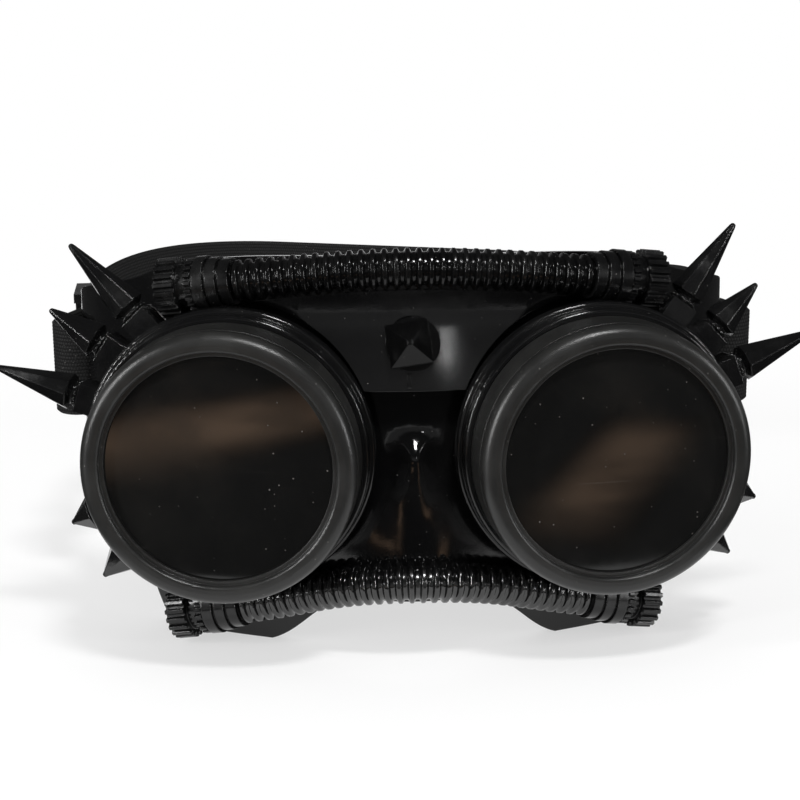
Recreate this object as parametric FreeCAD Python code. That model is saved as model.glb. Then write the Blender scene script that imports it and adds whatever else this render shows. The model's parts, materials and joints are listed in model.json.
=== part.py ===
import FreeCAD, Part
import math
import os

# A pair of black costume goggles built on a half mask: two screwed eyepieces on a
# moulded face shell, ribbed hoses along its edges, spikes round the outer side of
# each eye and an elastic head strap with a slider.
# Millimetres. +Z is up, the wearer looks along -Y, and +X is on the right as seen
# from the front. The goggles stand on their cheek edges at Z = 0, and the origin is
# under the middle of the whole object.

Vector = FreeCAD.Vector

# Driving dimensions of the face shell, whose heights follow the height of the eyes
EYE_HEIGHT = 46.0
SHELL_HALF_WIDTH = 77.0
SHELL_WRAP_DEPTH = 58.0
SHELL_WALL = 2.2
SHELL_TOP_MARGIN = 2.4
SHELL_TOP_DROP = 15.0
SHELL_TOP_POWER = 4
SHELL_WRAP_ANGLE = 62.0
SHELL_CROWN = 3.0
SHELL_MID_HEIGHT = EYE_HEIGHT + 4.0
NOSE_ARCH = 12.0
CHEEK_LOBE_POSITION = 43.5
CHEEK_LOBE_WIDTH = 21.0
CHEEK_SIDE_RISE = 24.0
FOOT_CUT = 1.2
SHELL_COLUMNS = 97
SHELL_ROWS = 53
BACKING_ANGLE = 80.0
BACKING_MARGIN = 12.0
BACKING_COLUMNS = 61
BACKING_ROWS = 31

# Nose of the face shell
NOSE_TOP = EYE_HEIGHT + 12.0
NOSE_BOTTOM = 6.0
NOSE_PROUD = 7.0
NOSE_HALF_WIDTH_TOP = 9.0
NOSE_HALF_WIDTH_BOTTOM = 20.0
RIDGE_TOP = EYE_HEIGHT + 3.5
RIDGE_RUN = 6.0
RIDGE_PROUD = 2.6
RIDGE_BOTTOM = EYE_HEIGHT - 22.0
RIDGE_FADE = 22.0
RIDGE_HALF_WIDTH = 3.4

# Strap ears at the sides of the face shell
EAR_ANGLE = 84.0
EAR_HEIGHT = EYE_HEIGHT + 9.0
EAR_HALF_LENGTH = 17.0
EAR_BLEND = 9.0
EAR_BAR_WIDTH = 3.6
SLOT_WIDTH = 7.0
SLOT_MARGIN = 1.5
SLOT_CUT_DEPTH = 13.0

# Brow plate and its stud
BROW_BOTTOM = EYE_HEIGHT + 12.8
BROW_WRAP_ANGLE = 40.0
BROW_THICKNESS = 2.0
BROW_CREASE = EYE_HEIGHT + 27.5
BROW_CREASE_ROUND = 2.5
BROW_LEDGE = 3.2
BROW_GAP = 0.1
BROW_RIB_WIDTH = 0.8
BROW_RIB_PROUD = 0.5
BROW_RIB_DEPTH = 0.8
BROW_RIB_MARGIN = 0.4
BROW_COLUMNS = 41
BROW_ROWS = 17
STUD_HEIGHT = BROW_BOTTOM + 9.7
STUD_WIDTH = 9.2
STUD_SKIRT = 1.4
STUD_PEAK = 4.4
STUD_FLAT = 1.0
STUD_TURN = -8.0
STUD_ANGLE = -0.8
STUD_PIN_RADIUS = 1.5
STUD_BASE_RADIUS = 5.9
STUD_BASE_OFFSET = 0.8
STUD_BASE_THICKNESS = 0.8

# Eyepieces: distances run back from the front of the bezel along the eye axis
EYE_FRONT_OFFSET = 41.8
EYE_FRONT = -20.0
EYE_SPLAY = 7.5
LENS_RADIUS = 25.0
LENS_THICKNESS = 2.0
LENS_RECESS = 2.4
LENS_CLEARANCE = 0.15
LENS_SEAT_GAP = 0.05
LENS_BEVEL = 0.2
BEZEL_RADIUS = 29.0
BEZEL_DEPTH = 12.4
BEZEL_OPENING = 24.0
BEZEL_LIP_STEP = 0.9
BEZEL_GROOVE_FRONT = 3.6
BEZEL_GROOVE_WIDTH = 0.6
BEZEL_GROOVE_DEPTH = 0.5
BEZEL_FRONT_ROUND = 2.4
BEZEL_INNER_ROUND = 0.8
BEZEL_GAP = 0.3
CUP_BORE = 23.2
NECK_RADIUS = 25.9
THREAD_PITCH = 3.0
THREAD_HEIGHT = 0.7
THREAD_WIDTH = 1.3
THREAD_CREST = 0.7
THREAD_TURNS = 1.5
THREAD_CLEARANCE = 0.2
THREAD_ROOT = 0.3
CUP_STEP_RADIUS = 30.3
CUP_STEP_DEPTH = 3.4
CUP_RING_RADIUS = 31.3
CUP_RING_DEPTH = 2.6
CUP_WALL_RADIUS = 28.4
CUP_EDGE_ROUND = 0.6
CUP_SEAT_GAP = 0.15
CUP_REACH = 60.0
EYE_HOLE_MARGIN = 0.3

# Spikes round the outer side of each eye
SPIKE_SIDES = 8
LONG_SPIKE_LINE = 23.0
SHORT_SPIKE_LINE = 20.8
SPIKE_LEAN = 6.0
SPIKE_BLOCK_WIDTH = 6.4
SPIKE_BLOCK_RADIUS = 35.2
SPIKE_NECK_RADIUS = 2.5
SPIKE_NECK_LENGTH = 1.4
SPIKE_TIP_RADIUS = 0.75
SPIKE_FLARE = 1.0
SPIKE_PIN_RADIUS = 1.4
SPIKE_PIN_LENGTH = 4.0
PIN_CLEARANCE = 0.05
LONG_SPIKE_RADIUS = 4.1
SHORT_SPIKE_RADIUS = 4.6
SHORT_BLOCK_RADIUS = 31.8
LONG_SPIKES = ("upper", "middle", "outer")
SPIKE_LENGTHS = {"upper": 20.8, "middle": 14.4, "outer": 20.0, "lower": 8.8, "cheek": 10.6}
SPIKE_PLACES = {
    "left": {"upper": 54.0, "middle": 38.0, "outer": 18.0, "lower": -26.0, "cheek": -45.0},
    "right": {"upper": 56.0, "middle": 40.0, "outer": 24.0, "lower": -22.0, "cheek": -41.0},
}
SPIKE_TILTS = {
    "left": {"upper": -8.0, "middle": -6.0, "outer": -2.0, "lower": 0.0, "cheek": 0.0},
    "right": {"upper": -3.0, "middle": 3.0, "outer": -4.0, "lower": 0.0, "cheek": 0.0},
}

# Ribbed hoses along the top and bottom edges, with their end fittings
HOSE_RADIUS = 4.4
HOSE_ROOT_RADIUS = 3.6
HOSE_BORE = 2.6
HOSE_SHELL_GAP = 0.3
RIB_PITCH = 2.4
RIB_RISE_START = 0.1
RIB_RISE_END = 0.3
RIB_FALL_START = 0.65
RIB_FALL_END = 0.85
TOP_RIB_COUNT = 32
BOTTOM_RIB_COUNT = 34
HOSE_WRAP_ANGLE = 60.0
HOSE_LINE_STEPS = 400
TOP_HOSE_CLEARANCE = 2.9
TOP_HOSE_HEIGHT = EYE_HEIGHT + CUP_RING_RADIUS + HOSE_RADIUS + TOP_HOSE_CLEARANCE
TOP_HOSE_DROP = 12.0
SHELL_TOP = TOP_HOSE_HEIGHT + SHELL_TOP_MARGIN
BOTTOM_HOSE_CLEARANCE = 1.0
BOTTOM_HOSE_DROP = 8.2
BOTTOM_HOSE_END_HEIGHT = EYE_HEIGHT - CUP_RING_RADIUS - HOSE_RADIUS - BOTTOM_HOSE_CLEARANCE
BOTTOM_HOSE_HEIGHT = BOTTOM_HOSE_END_HEIGHT + BOTTOM_HOSE_DROP
TOP_HOSE_SPAN = 110.0
BOTTOM_HOSE_SPAN = 46.0
FITTING_LIFT = 1.6
FITTING_LIFT_ANGLE = 30.0
FERRULE_RADII = (5.0, 5.5, 6.0)
FERRULE_STEP = 2.7
FERRULE_GROOVE = 0.4
CAP_NECK_RADIUS = 4.6
CAP_NECK_LENGTH = 2.2
CAP_SMALL_RING_RADIUS = 5.8
CAP_SMALL_RING_LENGTH = 1.6
CAP_RING_RADIUS = 6.4
CAP_RING_LENGTH = 4.4
CAP_TEETH = 20
CAP_TOOTH_DEPTH = 0.8
TOOTH_ROOT_END = 0.3
TOOTH_TIP_START = 0.45
TOOTH_TIP_END = 0.85
CAP_STEM_LENGTH = 5.0
FITTING_GAP = 0.05

# Elastic head strap and its slider
STRAP_WIDTH = 22.0
STRAP_THICKNESS = 1.4
STRAP_TILT = 3.0
STRAP_RUN = 38.0
STRAP_JOIN = 13.0
STRAP_FLARE = 3.0
STRAP_CORNER_RADIUS = 48.0
STRAP_TAIL = 36.0
STRAP_SEWN_TAIL = 20.0
STRAP_LAYER_GAP = 0.2
STRAP_LOOP_OUT = 7.4
STRAP_BAR_GAP = 0.3
SLIDER_PLACE = 21.0
SLIDER_LENGTH = 13.0
SLIDER_BAR = 2.6
SLIDER_RAIL = 2.2
SLIDER_THICKNESS = 2.0
SLIDER_CLEARANCE = 0.3

SIDES = {"left": -1.0, "right": 1.0}


def smooth_step(amount):
    held = min(max(amount, 0.0), 1.0)
    return held * held * (3.0 - 2.0 * held)


def nose_proud(x, z):
    # How far the nose stands in front of the plain curve of the shell
    fall = (NOSE_TOP - z) / (NOSE_TOP - NOSE_BOTTOM)
    widening = NOSE_HALF_WIDTH_BOTTOM - NOSE_HALF_WIDTH_TOP
    half_width = NOSE_HALF_WIDTH_TOP + widening * min(max(fall, 0.0), 1.0)
    body = NOSE_PROUD * smooth_step(fall) * math.exp(-(x / half_width) ** 2)
    start = smooth_step((RIDGE_TOP - z) / RIDGE_RUN)
    fade = smooth_step((z - RIDGE_BOTTOM) / RIDGE_FADE)
    ridge = RIDGE_PROUD * start * fade * math.exp(-(x / RIDGE_HALF_WIDTH) ** 2)
    return body + ridge


def shell_point(angle, z):
    # Front surface of the shell: an ellipse in plan, a slight crown in height, and the nose
    turn = math.radians(angle)
    x = SHELL_HALF_WIDTH * math.sin(turn)
    crown = SHELL_CROWN * ((z - SHELL_MID_HEIGHT) / SHELL_MID_HEIGHT) ** 2
    y = SHELL_WRAP_DEPTH * (1.0 - math.cos(turn)) + crown - nose_proud(x, z)
    return Vector(x, y, z)


def shell_normal(angle, z):
    step = 0.05
    along = shell_point(angle + step, z) - shell_point(angle - step, z)
    upward = shell_point(angle, z + step) - shell_point(angle, z - step)
    return along.cross(upward).normalize()


def raised_point(angle, z, height):
    return shell_point(angle, z) + shell_normal(angle, z) * height


def spread(low, high, count):
    return [low + (high - low) * index / (count - 1) for index in range(count)]


def patch(point, columns, rows):
    surface = Part.BSplineSurface()
    surface.interpolate([[point(column, row) for row in rows] for column in columns])
    return surface


def plate(front, back, columns, rows):
    # A closed plate between two surfaces that run over the same columns and rows
    outer = patch(front, columns, rows)
    inner = patch(back, columns, rows)
    faces = [outer.toShape(), inner.toShape()]
    for first, second in zip(border_curves(outer), border_curves(inner)):
        faces.append(Part.makeRuledSurface(first.toShape(), second.toShape()))
    shell = Part.Shell(faces)
    shell.sewShape()
    solid = Part.Solid(shell)
    if solid.Volume < 0.0:
        solid.reverse()
    return solid


def border_curves(surface):
    u_low, u_high, v_low, v_high = surface.bounds()
    return [surface.uIso(u_low), surface.uIso(u_high), surface.vIso(v_low), surface.vIso(v_high)]


def behind_shell(height):
    # Everything behind the shell's front surface, raised by the given height
    columns = spread(-BACKING_ANGLE, BACKING_ANGLE, BACKING_COLUMNS)
    rows = spread(-BACKING_MARGIN, SHELL_TOP + BACKING_MARGIN, BACKING_ROWS)
    face = patch(lambda angle, z: raised_point(angle, z, height), columns, rows).toShape()
    return face.extrude(Vector(0.0, CUP_REACH, 0.0))


def revolved(profile):
    # A ring from a closed list of (radius, distance) points, about the local Z axis
    points = [Vector(radius, 0.0, distance) for radius, distance in profile]
    face = Part.Face(Part.makePolygon(points + points[:1]))
    return face.revolve(Vector(0.0, 0.0, 0.0), Vector(0.0, 0.0, 1.0), 360.0)


def upright_placement(base, forward, upward):
    # A placement whose local Z is forward and whose local Y leans to upward
    side = upward.cross(forward).normalize()
    lift = forward.cross(side).normalize()
    return FreeCAD.Placement(base, FreeCAD.Rotation(side, lift, forward, "ZXY"))


def placed(shape, placement):
    moved = shape.copy()
    moved.Placement = placement.multiply(moved.Placement)
    return moved


# Face shell
def shell_top(share):
    return SHELL_TOP - SHELL_TOP_DROP * abs(share) ** SHELL_TOP_POWER


def shell_bottom(share):
    # Arch over the nose, a flat lobe under each cheek, and a rise to the sides
    x = abs(SHELL_HALF_WIDTH * math.sin(math.radians(share * SHELL_WRAP_ANGLE)))
    lobe = math.exp(-((x - CHEEK_LOBE_POSITION) / CHEEK_LOBE_WIDTH) ** 4)
    outer_edge = SHELL_HALF_WIDTH * math.sin(math.radians(SHELL_WRAP_ANGLE))
    lobe_edge = CHEEK_LOBE_POSITION + CHEEK_LOBE_WIDTH / 2.0
    side = CHEEK_SIDE_RISE * smooth_step((x - lobe_edge) / (outer_edge - lobe_edge))
    return max(NOSE_ARCH * (1.0 - lobe) - FOOT_CUT * lobe, -FOOT_CUT) + side


def shell_end_angle(z):
    # The sides end at one angle, and run on to the ears at strap height
    reach = EAR_HALF_LENGTH + EAR_BLEND - abs(z - EAR_HEIGHT)
    lean = (z - EAR_HEIGHT) * math.tan(math.radians(STRAP_TILT)) / ear_arc_per_degree()
    return SHELL_WRAP_ANGLE + (EAR_ANGLE - lean - SHELL_WRAP_ANGLE) * smooth_step(reach / EAR_BLEND)


def ear_arc_per_degree():
    return (shell_point(EAR_ANGLE + 0.5, EAR_HEIGHT) - shell_point(EAR_ANGLE - 0.5, EAR_HEIGHT)).Length


def shell_edge_point(share, rise, height):
    z = shell_bottom(share) + rise * (shell_top(share) - shell_bottom(share))
    return raised_point(share * shell_end_angle(z), z, height)


def bar_angle():
    return EAR_ANGLE - EAR_BAR_WIDTH / 2.0 / ear_arc_per_degree()


def bar_centre(side):
    centre = raised_point(bar_angle(), EAR_HEIGHT, -SHELL_WALL / 2.0)
    return Vector(side * centre.x, centre.y, centre.z)


def strap_placement():
    # The strap lies in a plane that rises to the back from the bars of the ears
    tilt = FreeCAD.Rotation(Vector(1.0, 0.0, 0.0), STRAP_TILT)
    return FreeCAD.Placement(Vector(0.0, bar_centre(1.0).y, EAR_HEIGHT), tilt)


def strap_slot(side):
    near = EAR_BAR_WIDTH / 2.0
    height = STRAP_WIDTH + 2.0 * SLOT_MARGIN
    depth = SLOT_CUT_DEPTH
    box = Part.makeBox(depth, SLOT_WIDTH, height, Vector(-depth / 2.0, -near - SLOT_WIDTH, -height / 2.0))
    along = shell_point(bar_angle() + 0.5, EAR_HEIGHT) - shell_point(bar_angle() - 0.5, EAR_HEIGHT)
    turn = -side * math.degrees(math.atan2(along.x, along.y))
    box.rotate(Vector(0.0, 0.0, 0.0), Vector(0.0, 0.0, 1.0), turn)
    box.translate(Vector(bar_centre(side).x, 0.0, 0.0))
    return placed(box, strap_placement())


def make_mask_shell():
    columns = spread(-1.0, 1.0, SHELL_COLUMNS)
    rows = spread(0.0, 1.0, SHELL_ROWS)
    shell = plate(
        lambda share, rise: shell_edge_point(share, rise, 0.0),
        lambda share, rise: shell_edge_point(share, rise, -SHELL_WALL),
        columns,
        rows,
    )
    width = 2.0 * SHELL_HALF_WIDTH
    below = Part.makeBox(2.0 * width, width, width, Vector(-width, -width / 2.0, -width))
    shell = shell.cut(below)
    for side in SIDES.values():
        hole = Part.makeCylinder(CUP_BORE + EYE_HOLE_MARGIN, CUP_REACH)
        shell = shell.cut(placed(hole, eye_placement(side)))
        shell = shell.cut(strap_slot(side))
    pin_hole = Part.makeCylinder(STUD_PIN_RADIUS + PIN_CLEARANCE, CUP_REACH)
    return largest_solid(shell.cut(placed(pin_hole, stud_placement())))


# Eyepieces
def eye_placement(side):
    # Local Z runs back into the head from the middle of the bezel's front
    splay = math.radians(EYE_SPLAY)
    backward = Vector(-side * math.sin(splay), math.cos(splay), 0.0)
    base = Vector(side * EYE_FRONT_OFFSET, EYE_FRONT, EYE_HEIGHT)
    return upright_placement(base, backward, Vector(0.0, 0.0, 1.0))


def ring_edges(shape, radius, distance):
    found = []
    for edge in shape.Edges:
        curve = edge.Curve
        if isinstance(curve, Part.Circle) and abs(curve.Radius - radius) < 1e-6:
            if abs(curve.Center.z - distance) < 1e-6:
                found.append(edge)
    return found


def thread_ridge(root, crest, start, turns):
    # One helical ridge, right-handed, from a root radius to a crest radius
    half_root = THREAD_WIDTH / 2.0
    half_crest = THREAD_CREST / 2.0
    corners = [
        Vector(root, 0.0, -half_root),
        Vector(root, 0.0, half_root),
        Vector(crest, 0.0, half_crest),
        Vector(crest, 0.0, -half_crest),
    ]
    section = Part.makePolygon(corners + corners[:1])
    helix = Part.makeHelix(THREAD_PITCH, THREAD_PITCH * turns, root)
    ridge = Part.Wire(helix).makePipeShell([section], True, True)
    ridge.translate(Vector(0.0, 0.0, start))
    return ridge


def lens_back():
    return LENS_RECESS + LENS_THICKNESS


def thread_start():
    return lens_back() + THREAD_WIDTH


def bezel_bore():
    return NECK_RADIUS + THREAD_HEIGHT + THREAD_CLEARANCE


def make_eye_cup(side):
    rim = lens_back() + LENS_SEAT_GAP
    step = BEZEL_DEPTH + BEZEL_GAP
    ring = step + CUP_STEP_DEPTH
    wall = ring + CUP_RING_DEPTH
    cup = revolved([
        (CUP_BORE, rim),
        (NECK_RADIUS, rim),
        (NECK_RADIUS, step),
        (CUP_STEP_RADIUS, step),
        (CUP_STEP_RADIUS, ring),
        (CUP_RING_RADIUS, ring),
        (CUP_RING_RADIUS, wall),
        (CUP_WALL_RADIUS, wall),
        (CUP_WALL_RADIUS, CUP_REACH),
        (CUP_BORE, CUP_REACH),
    ])
    soft = ring_edges(cup, CUP_STEP_RADIUS, step) + ring_edges(cup, CUP_RING_RADIUS, ring)
    cup = cup.makeFillet(CUP_EDGE_ROUND, soft)
    ridge = thread_ridge(NECK_RADIUS - THREAD_ROOT, NECK_RADIUS + THREAD_HEIGHT, thread_start(), THREAD_TURNS)
    cup = cup.fuse(ridge)
    cup = placed(cup, eye_placement(side))
    for name in SPIKE_LENGTHS:
        cup = cup.fuse(spike_block(side, name))
    cup = cup.cut(behind_shell(CUP_SEAT_GAP))
    bore = Part.makeCylinder(CUP_BORE, CUP_REACH)
    cup = cup.cut(placed(bore, eye_placement(side)))
    for name in SPIKE_LENGTHS:
        hole = Part.makeCylinder(SPIKE_PIN_RADIUS + PIN_CLEARANCE, SPIKE_PIN_LENGTH, Vector(0.0, 0.0, -SPIKE_PIN_LENGTH))
        cup = cup.cut(placed(hole, spike_placement(side, name)))
    return largest_solid(cup)


def largest_solid(shape):
    return max(shape.Solids, key=lambda solid: solid.Volume)


def make_bezel(side):
    groove_back = BEZEL_GROOVE_FRONT + BEZEL_GROOVE_WIDTH
    groove_floor = BEZEL_RADIUS - BEZEL_GROOVE_DEPTH
    pocket = LENS_RADIUS + LENS_CLEARANCE
    inner_step = BEZEL_OPENING + BEZEL_LIP_STEP
    bezel = revolved([
        (inner_step, 0.0),
        (BEZEL_RADIUS, 0.0),
        (BEZEL_RADIUS, BEZEL_GROOVE_FRONT),
        (groove_floor, BEZEL_GROOVE_FRONT),
        (groove_floor, groove_back),
        (BEZEL_RADIUS, groove_back),
        (BEZEL_RADIUS, BEZEL_DEPTH),
        (bezel_bore(), BEZEL_DEPTH),
        (bezel_bore(), lens_back()),
        (pocket, lens_back()),
        (pocket, LENS_RECESS),
        (BEZEL_OPENING, LENS_RECESS),
        (BEZEL_OPENING, LENS_RECESS - BEZEL_LIP_STEP),
        (inner_step, LENS_RECESS - BEZEL_LIP_STEP),
    ])
    bezel = bezel.makeFillet(BEZEL_FRONT_ROUND, ring_edges(bezel, BEZEL_RADIUS, 0.0))
    bezel = bezel.makeFillet(BEZEL_INNER_ROUND, ring_edges(bezel, inner_step, 0.0))
    start = thread_start() + THREAD_PITCH / 2.0
    ridge = thread_ridge(bezel_bore() + THREAD_ROOT, NECK_RADIUS + THREAD_CLEARANCE, start, THREAD_TURNS)
    return placed(largest_solid(bezel.fuse(ridge)), eye_placement(side))


def make_lens(side):
    thickness = LENS_THICKNESS - LENS_SEAT_GAP
    lens = Part.makeCylinder(LENS_RADIUS, thickness, Vector(0.0, 0.0, LENS_RECESS + LENS_SEAT_GAP))
    lens = lens.makeChamfer(LENS_BEVEL, lens.Edges)
    return placed(lens, eye_placement(side))


# Spikes and the blocks that carry them
def spike_placement(side, name):
    # Local Z points out along the spike, and the origin is on the face of its block
    splay = math.radians(EYE_SPLAY)
    place = math.radians(SPIKE_PLACES[side_name(side)][name])
    heading = place + math.radians(SPIKE_TILTS[side_name(side)][name])
    outward = Vector(side * math.cos(splay), math.sin(splay), 0.0)
    backward = Vector(-side * math.sin(splay), math.cos(splay), 0.0)
    radial = outward * math.cos(place) + Vector(0.0, 0.0, math.sin(place))
    pointing = outward * math.cos(heading) + Vector(0.0, 0.0, math.sin(heading))
    eye = Vector(side * EYE_FRONT_OFFSET, EYE_FRONT, EYE_HEIGHT)
    lean = math.radians(SPIKE_LEAN)
    base = eye + backward * spike_line(name) + radial * block_radius(name)
    return upright_placement(base, pointing * math.cos(lean) + backward * math.sin(lean), backward)


def side_name(side):
    return "left" if side < 0.0 else "right"


def spike_line(name):
    return LONG_SPIKE_LINE if name in LONG_SPIKES else SHORT_SPIKE_LINE


def block_radius(name):
    return SPIKE_BLOCK_RADIUS if name in LONG_SPIKES else SHORT_BLOCK_RADIUS


def spike_block(side, name):
    height = block_radius(name) - CUP_BORE - (CUP_WALL_RADIUS - CUP_BORE) / 2.0
    corner = Vector(-SPIKE_BLOCK_WIDTH / 2.0, -SPIKE_BLOCK_WIDTH / 2.0, -height)
    block = Part.makeBox(SPIKE_BLOCK_WIDTH, SPIKE_BLOCK_WIDTH, height, corner)
    return placed(block, spike_placement(side, name))


def polygon_wire(radius, height):
    # One edge of the spike faces the front
    points = []
    for index in range(SPIKE_SIDES):
        angle = 2.0 * math.pi * index / SPIKE_SIDES
        points.append(Vector(radius * math.cos(angle), radius * math.sin(angle), height))
    return Part.makePolygon(points + points[:1])


def make_spike(side, name):
    widest = LONG_SPIKE_RADIUS if name in LONG_SPIKES else SHORT_SPIKE_RADIUS
    length = SPIKE_LENGTHS[name]
    body = Part.makeLoft([
        polygon_wire(SPIKE_NECK_RADIUS, SPIKE_NECK_LENGTH),
        polygon_wire(widest, SPIKE_NECK_LENGTH + SPIKE_FLARE),
        polygon_wire(SPIKE_TIP_RADIUS, length - SPIKE_TIP_RADIUS),
        polygon_wire(0.75 * SPIKE_TIP_RADIUS, length - 0.3 * SPIKE_TIP_RADIUS),
        polygon_wire(0.35 * SPIKE_TIP_RADIUS, length),
    ], True, True)
    neck = Part.makeCylinder(SPIKE_NECK_RADIUS, SPIKE_NECK_LENGTH)
    pin = Part.makeCylinder(SPIKE_PIN_RADIUS, SPIKE_PIN_LENGTH, Vector(0.0, 0.0, -SPIKE_PIN_LENGTH))
    return placed(largest_solid(neck.fuse([body, pin])), spike_placement(side, name))


# Brow plate and stud
def brow_height(z):
    # The plate leans out below its crease, to a ledge along its lower edge
    below = BROW_CREASE - z
    if abs(below) < BROW_CREASE_ROUND:
        below = (below + BROW_CREASE_ROUND) ** 2 / (4.0 * BROW_CREASE_ROUND)
    lean = BROW_LEDGE / (BROW_CREASE - BROW_BOTTOM)
    return BROW_GAP + BROW_THICKNESS + lean * max(below, 0.0)


def brow_point(angle, z):
    return raised_point(angle, z, brow_height(z))


def make_brow_plate():
    columns = spread(-BROW_WRAP_ANGLE, BROW_WRAP_ANGLE, BROW_COLUMNS)
    rows = spread(0.0, 1.0, BROW_ROWS)

    def brow_z(angle, rise):
        top = hose_height("top", angle) - HOSE_RADIUS - HOSE_SHELL_GAP
        return BROW_BOTTOM + rise * (top - BROW_BOTTOM)

    brow = plate(
        lambda angle, rise: brow_point(angle, brow_z(angle, rise)),
        lambda angle, rise: raised_point(angle, brow_z(angle, rise), BROW_GAP),
        columns,
        rows,
    )
    brow = brow.fuse(placed(brow_rib(), stud_placement()))
    for side in SIDES.values():
        room = Part.makeCylinder(CUP_RING_RADIUS + BROW_GAP, CUP_REACH)
        brow = brow.cut(placed(room, eye_placement(side)))
    seat_depth = STUD_BASE_THICKNESS + STUD_SKIRT
    seat_front = Vector(-STUD_BASE_OFFSET, 0.0, BROW_GAP - seat_depth)
    seat = Part.makeCylinder(STUD_BASE_RADIUS + BROW_GAP, seat_depth, seat_front)
    pin_hole = Part.makeCylinder(STUD_PIN_RADIUS + PIN_CLEARANCE, CUP_REACH)
    return largest_solid(brow.cut(placed(seat.fuse(pin_hole), stud_placement())))


def brow_rib():
    # A low upright rib from under the stud's base to the ledge, in the stud's own frame
    top = -STUD_BASE_RADIUS - BROW_RIB_MARGIN
    bottom = BROW_BOTTOM - STUD_HEIGHT + BROW_RIB_MARGIN
    corner = Vector(-BROW_RIB_WIDTH / 2.0, bottom, BROW_GAP - BROW_RIB_PROUD)
    return Part.makeBox(BROW_RIB_WIDTH, top - bottom, BROW_RIB_PROUD + BROW_RIB_DEPTH, corner)


def stud_placement():
    # Local Z runs back through the brow, square to the leaning face that the stud sits on
    step = 0.05
    along = brow_point(STUD_ANGLE + step, STUD_HEIGHT) - brow_point(STUD_ANGLE - step, STUD_HEIGHT)
    upward = brow_point(STUD_ANGLE, STUD_HEIGHT + step) - brow_point(STUD_ANGLE, STUD_HEIGHT - step)
    outward = along.cross(upward).normalize()
    front = brow_point(STUD_ANGLE, STUD_HEIGHT) + outward * BROW_GAP
    return upright_placement(front, outward * -1.0, Vector(0.0, 0.0, 1.0))


def make_brow_stud():
    half = STUD_WIDTH / 2.0
    base_front = Vector(-STUD_BASE_OFFSET, 0.0, -STUD_BASE_THICKNESS)
    base = Part.makeCylinder(STUD_BASE_RADIUS, STUD_BASE_THICKNESS, base_front)
    skirt_front = -STUD_BASE_THICKNESS - STUD_SKIRT
    skirt = Part.makeBox(STUD_WIDTH, STUD_WIDTH, STUD_SKIRT, Vector(-half, -half, skirt_front))
    peak_half = STUD_FLAT / 2.0
    peak = Part.makeLoft([
        square_wire(half, skirt_front),
        square_wire(peak_half, skirt_front - STUD_PEAK),
    ], True, True)
    square = skirt.fuse(peak)
    square.rotate(Vector(0.0, 0.0, 0.0), Vector(0.0, 0.0, 1.0), STUD_TURN)
    pin_length = brow_height(STUD_HEIGHT) + SHELL_WALL
    pin = Part.makeCylinder(STUD_PIN_RADIUS, pin_length)
    stud = base.fuse([square, pin]).removeSplitter()
    return placed(largest_solid(stud), stud_placement())


def square_wire(half, height):
    corners = [
        Vector(-half, -half, height),
        Vector(half, -half, height),
        Vector(half, half, height),
        Vector(-half, half, height),
    ]
    return Part.makePolygon(corners + corners[:1])


# Hoses and their end fittings
HOSE_HEIGHTS = {"top": TOP_HOSE_HEIGHT, "bottom": BOTTOM_HOSE_HEIGHT}
HOSE_DROPS = {"top": TOP_HOSE_DROP, "bottom": BOTTOM_HOSE_DROP}
HOSE_SPANS = {"top": TOP_HOSE_SPAN, "bottom": BOTTOM_HOSE_SPAN}
RIB_COUNTS = {"top": TOP_RIB_COUNT, "bottom": BOTTOM_RIB_COUNT}


def hose_height(edge, angle):
    x = SHELL_HALF_WIDTH * math.sin(math.radians(angle))
    return HOSE_HEIGHTS[edge] - HOSE_DROPS[edge] * smooth_step(abs(x) / HOSE_SPANS[edge])


def hose_lift(angle):
    # The hose rises off the shell towards its ends, where the fittings are thicker
    return HOSE_RADIUS + HOSE_SHELL_GAP + FITTING_LIFT * (angle / FITTING_LIFT_ANGLE) ** 2


def hose_line(edge):
    # The hose's middle line over the shell, as points with their length from the middle
    points = []
    length = 0.0
    for index in range(HOSE_LINE_STEPS):
        angle = HOSE_WRAP_ANGLE * index / (HOSE_LINE_STEPS - 1)
        point = raised_point(angle, hose_height(edge, angle), hose_lift(angle))
        if points:
            length += (point - points[-1][1]).Length
        points.append((length, point))
    return points


def hose_station(line, distance):
    # Point and direction at a distance along the right half of the hose
    for (low, start), (high, end) in zip(line, line[1:]):
        if distance <= high:
            share = (distance - low) / (high - low)
            return start + (end - start) * share, (end - start).normalize()
    raise ValueError("the hose line is too short")


def mirrored(vector):
    return Vector(-vector.x, vector.y, vector.z)


def signed_station(line, distance):
    point, direction = hose_station(line, abs(distance))
    if distance < 0.0:
        return mirrored(point), mirrored(direction) * -1.0
    return point, direction


def hose_half_length(edge):
    return RIB_COUNTS[edge] * RIB_PITCH / 2.0


def circle_wire(point, direction, radius):
    circle = Part.Circle(point, direction, radius)
    circle.XAxis = Vector(0.0, 0.0, 1.0)
    return Part.Wire(circle.toShape())


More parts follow.
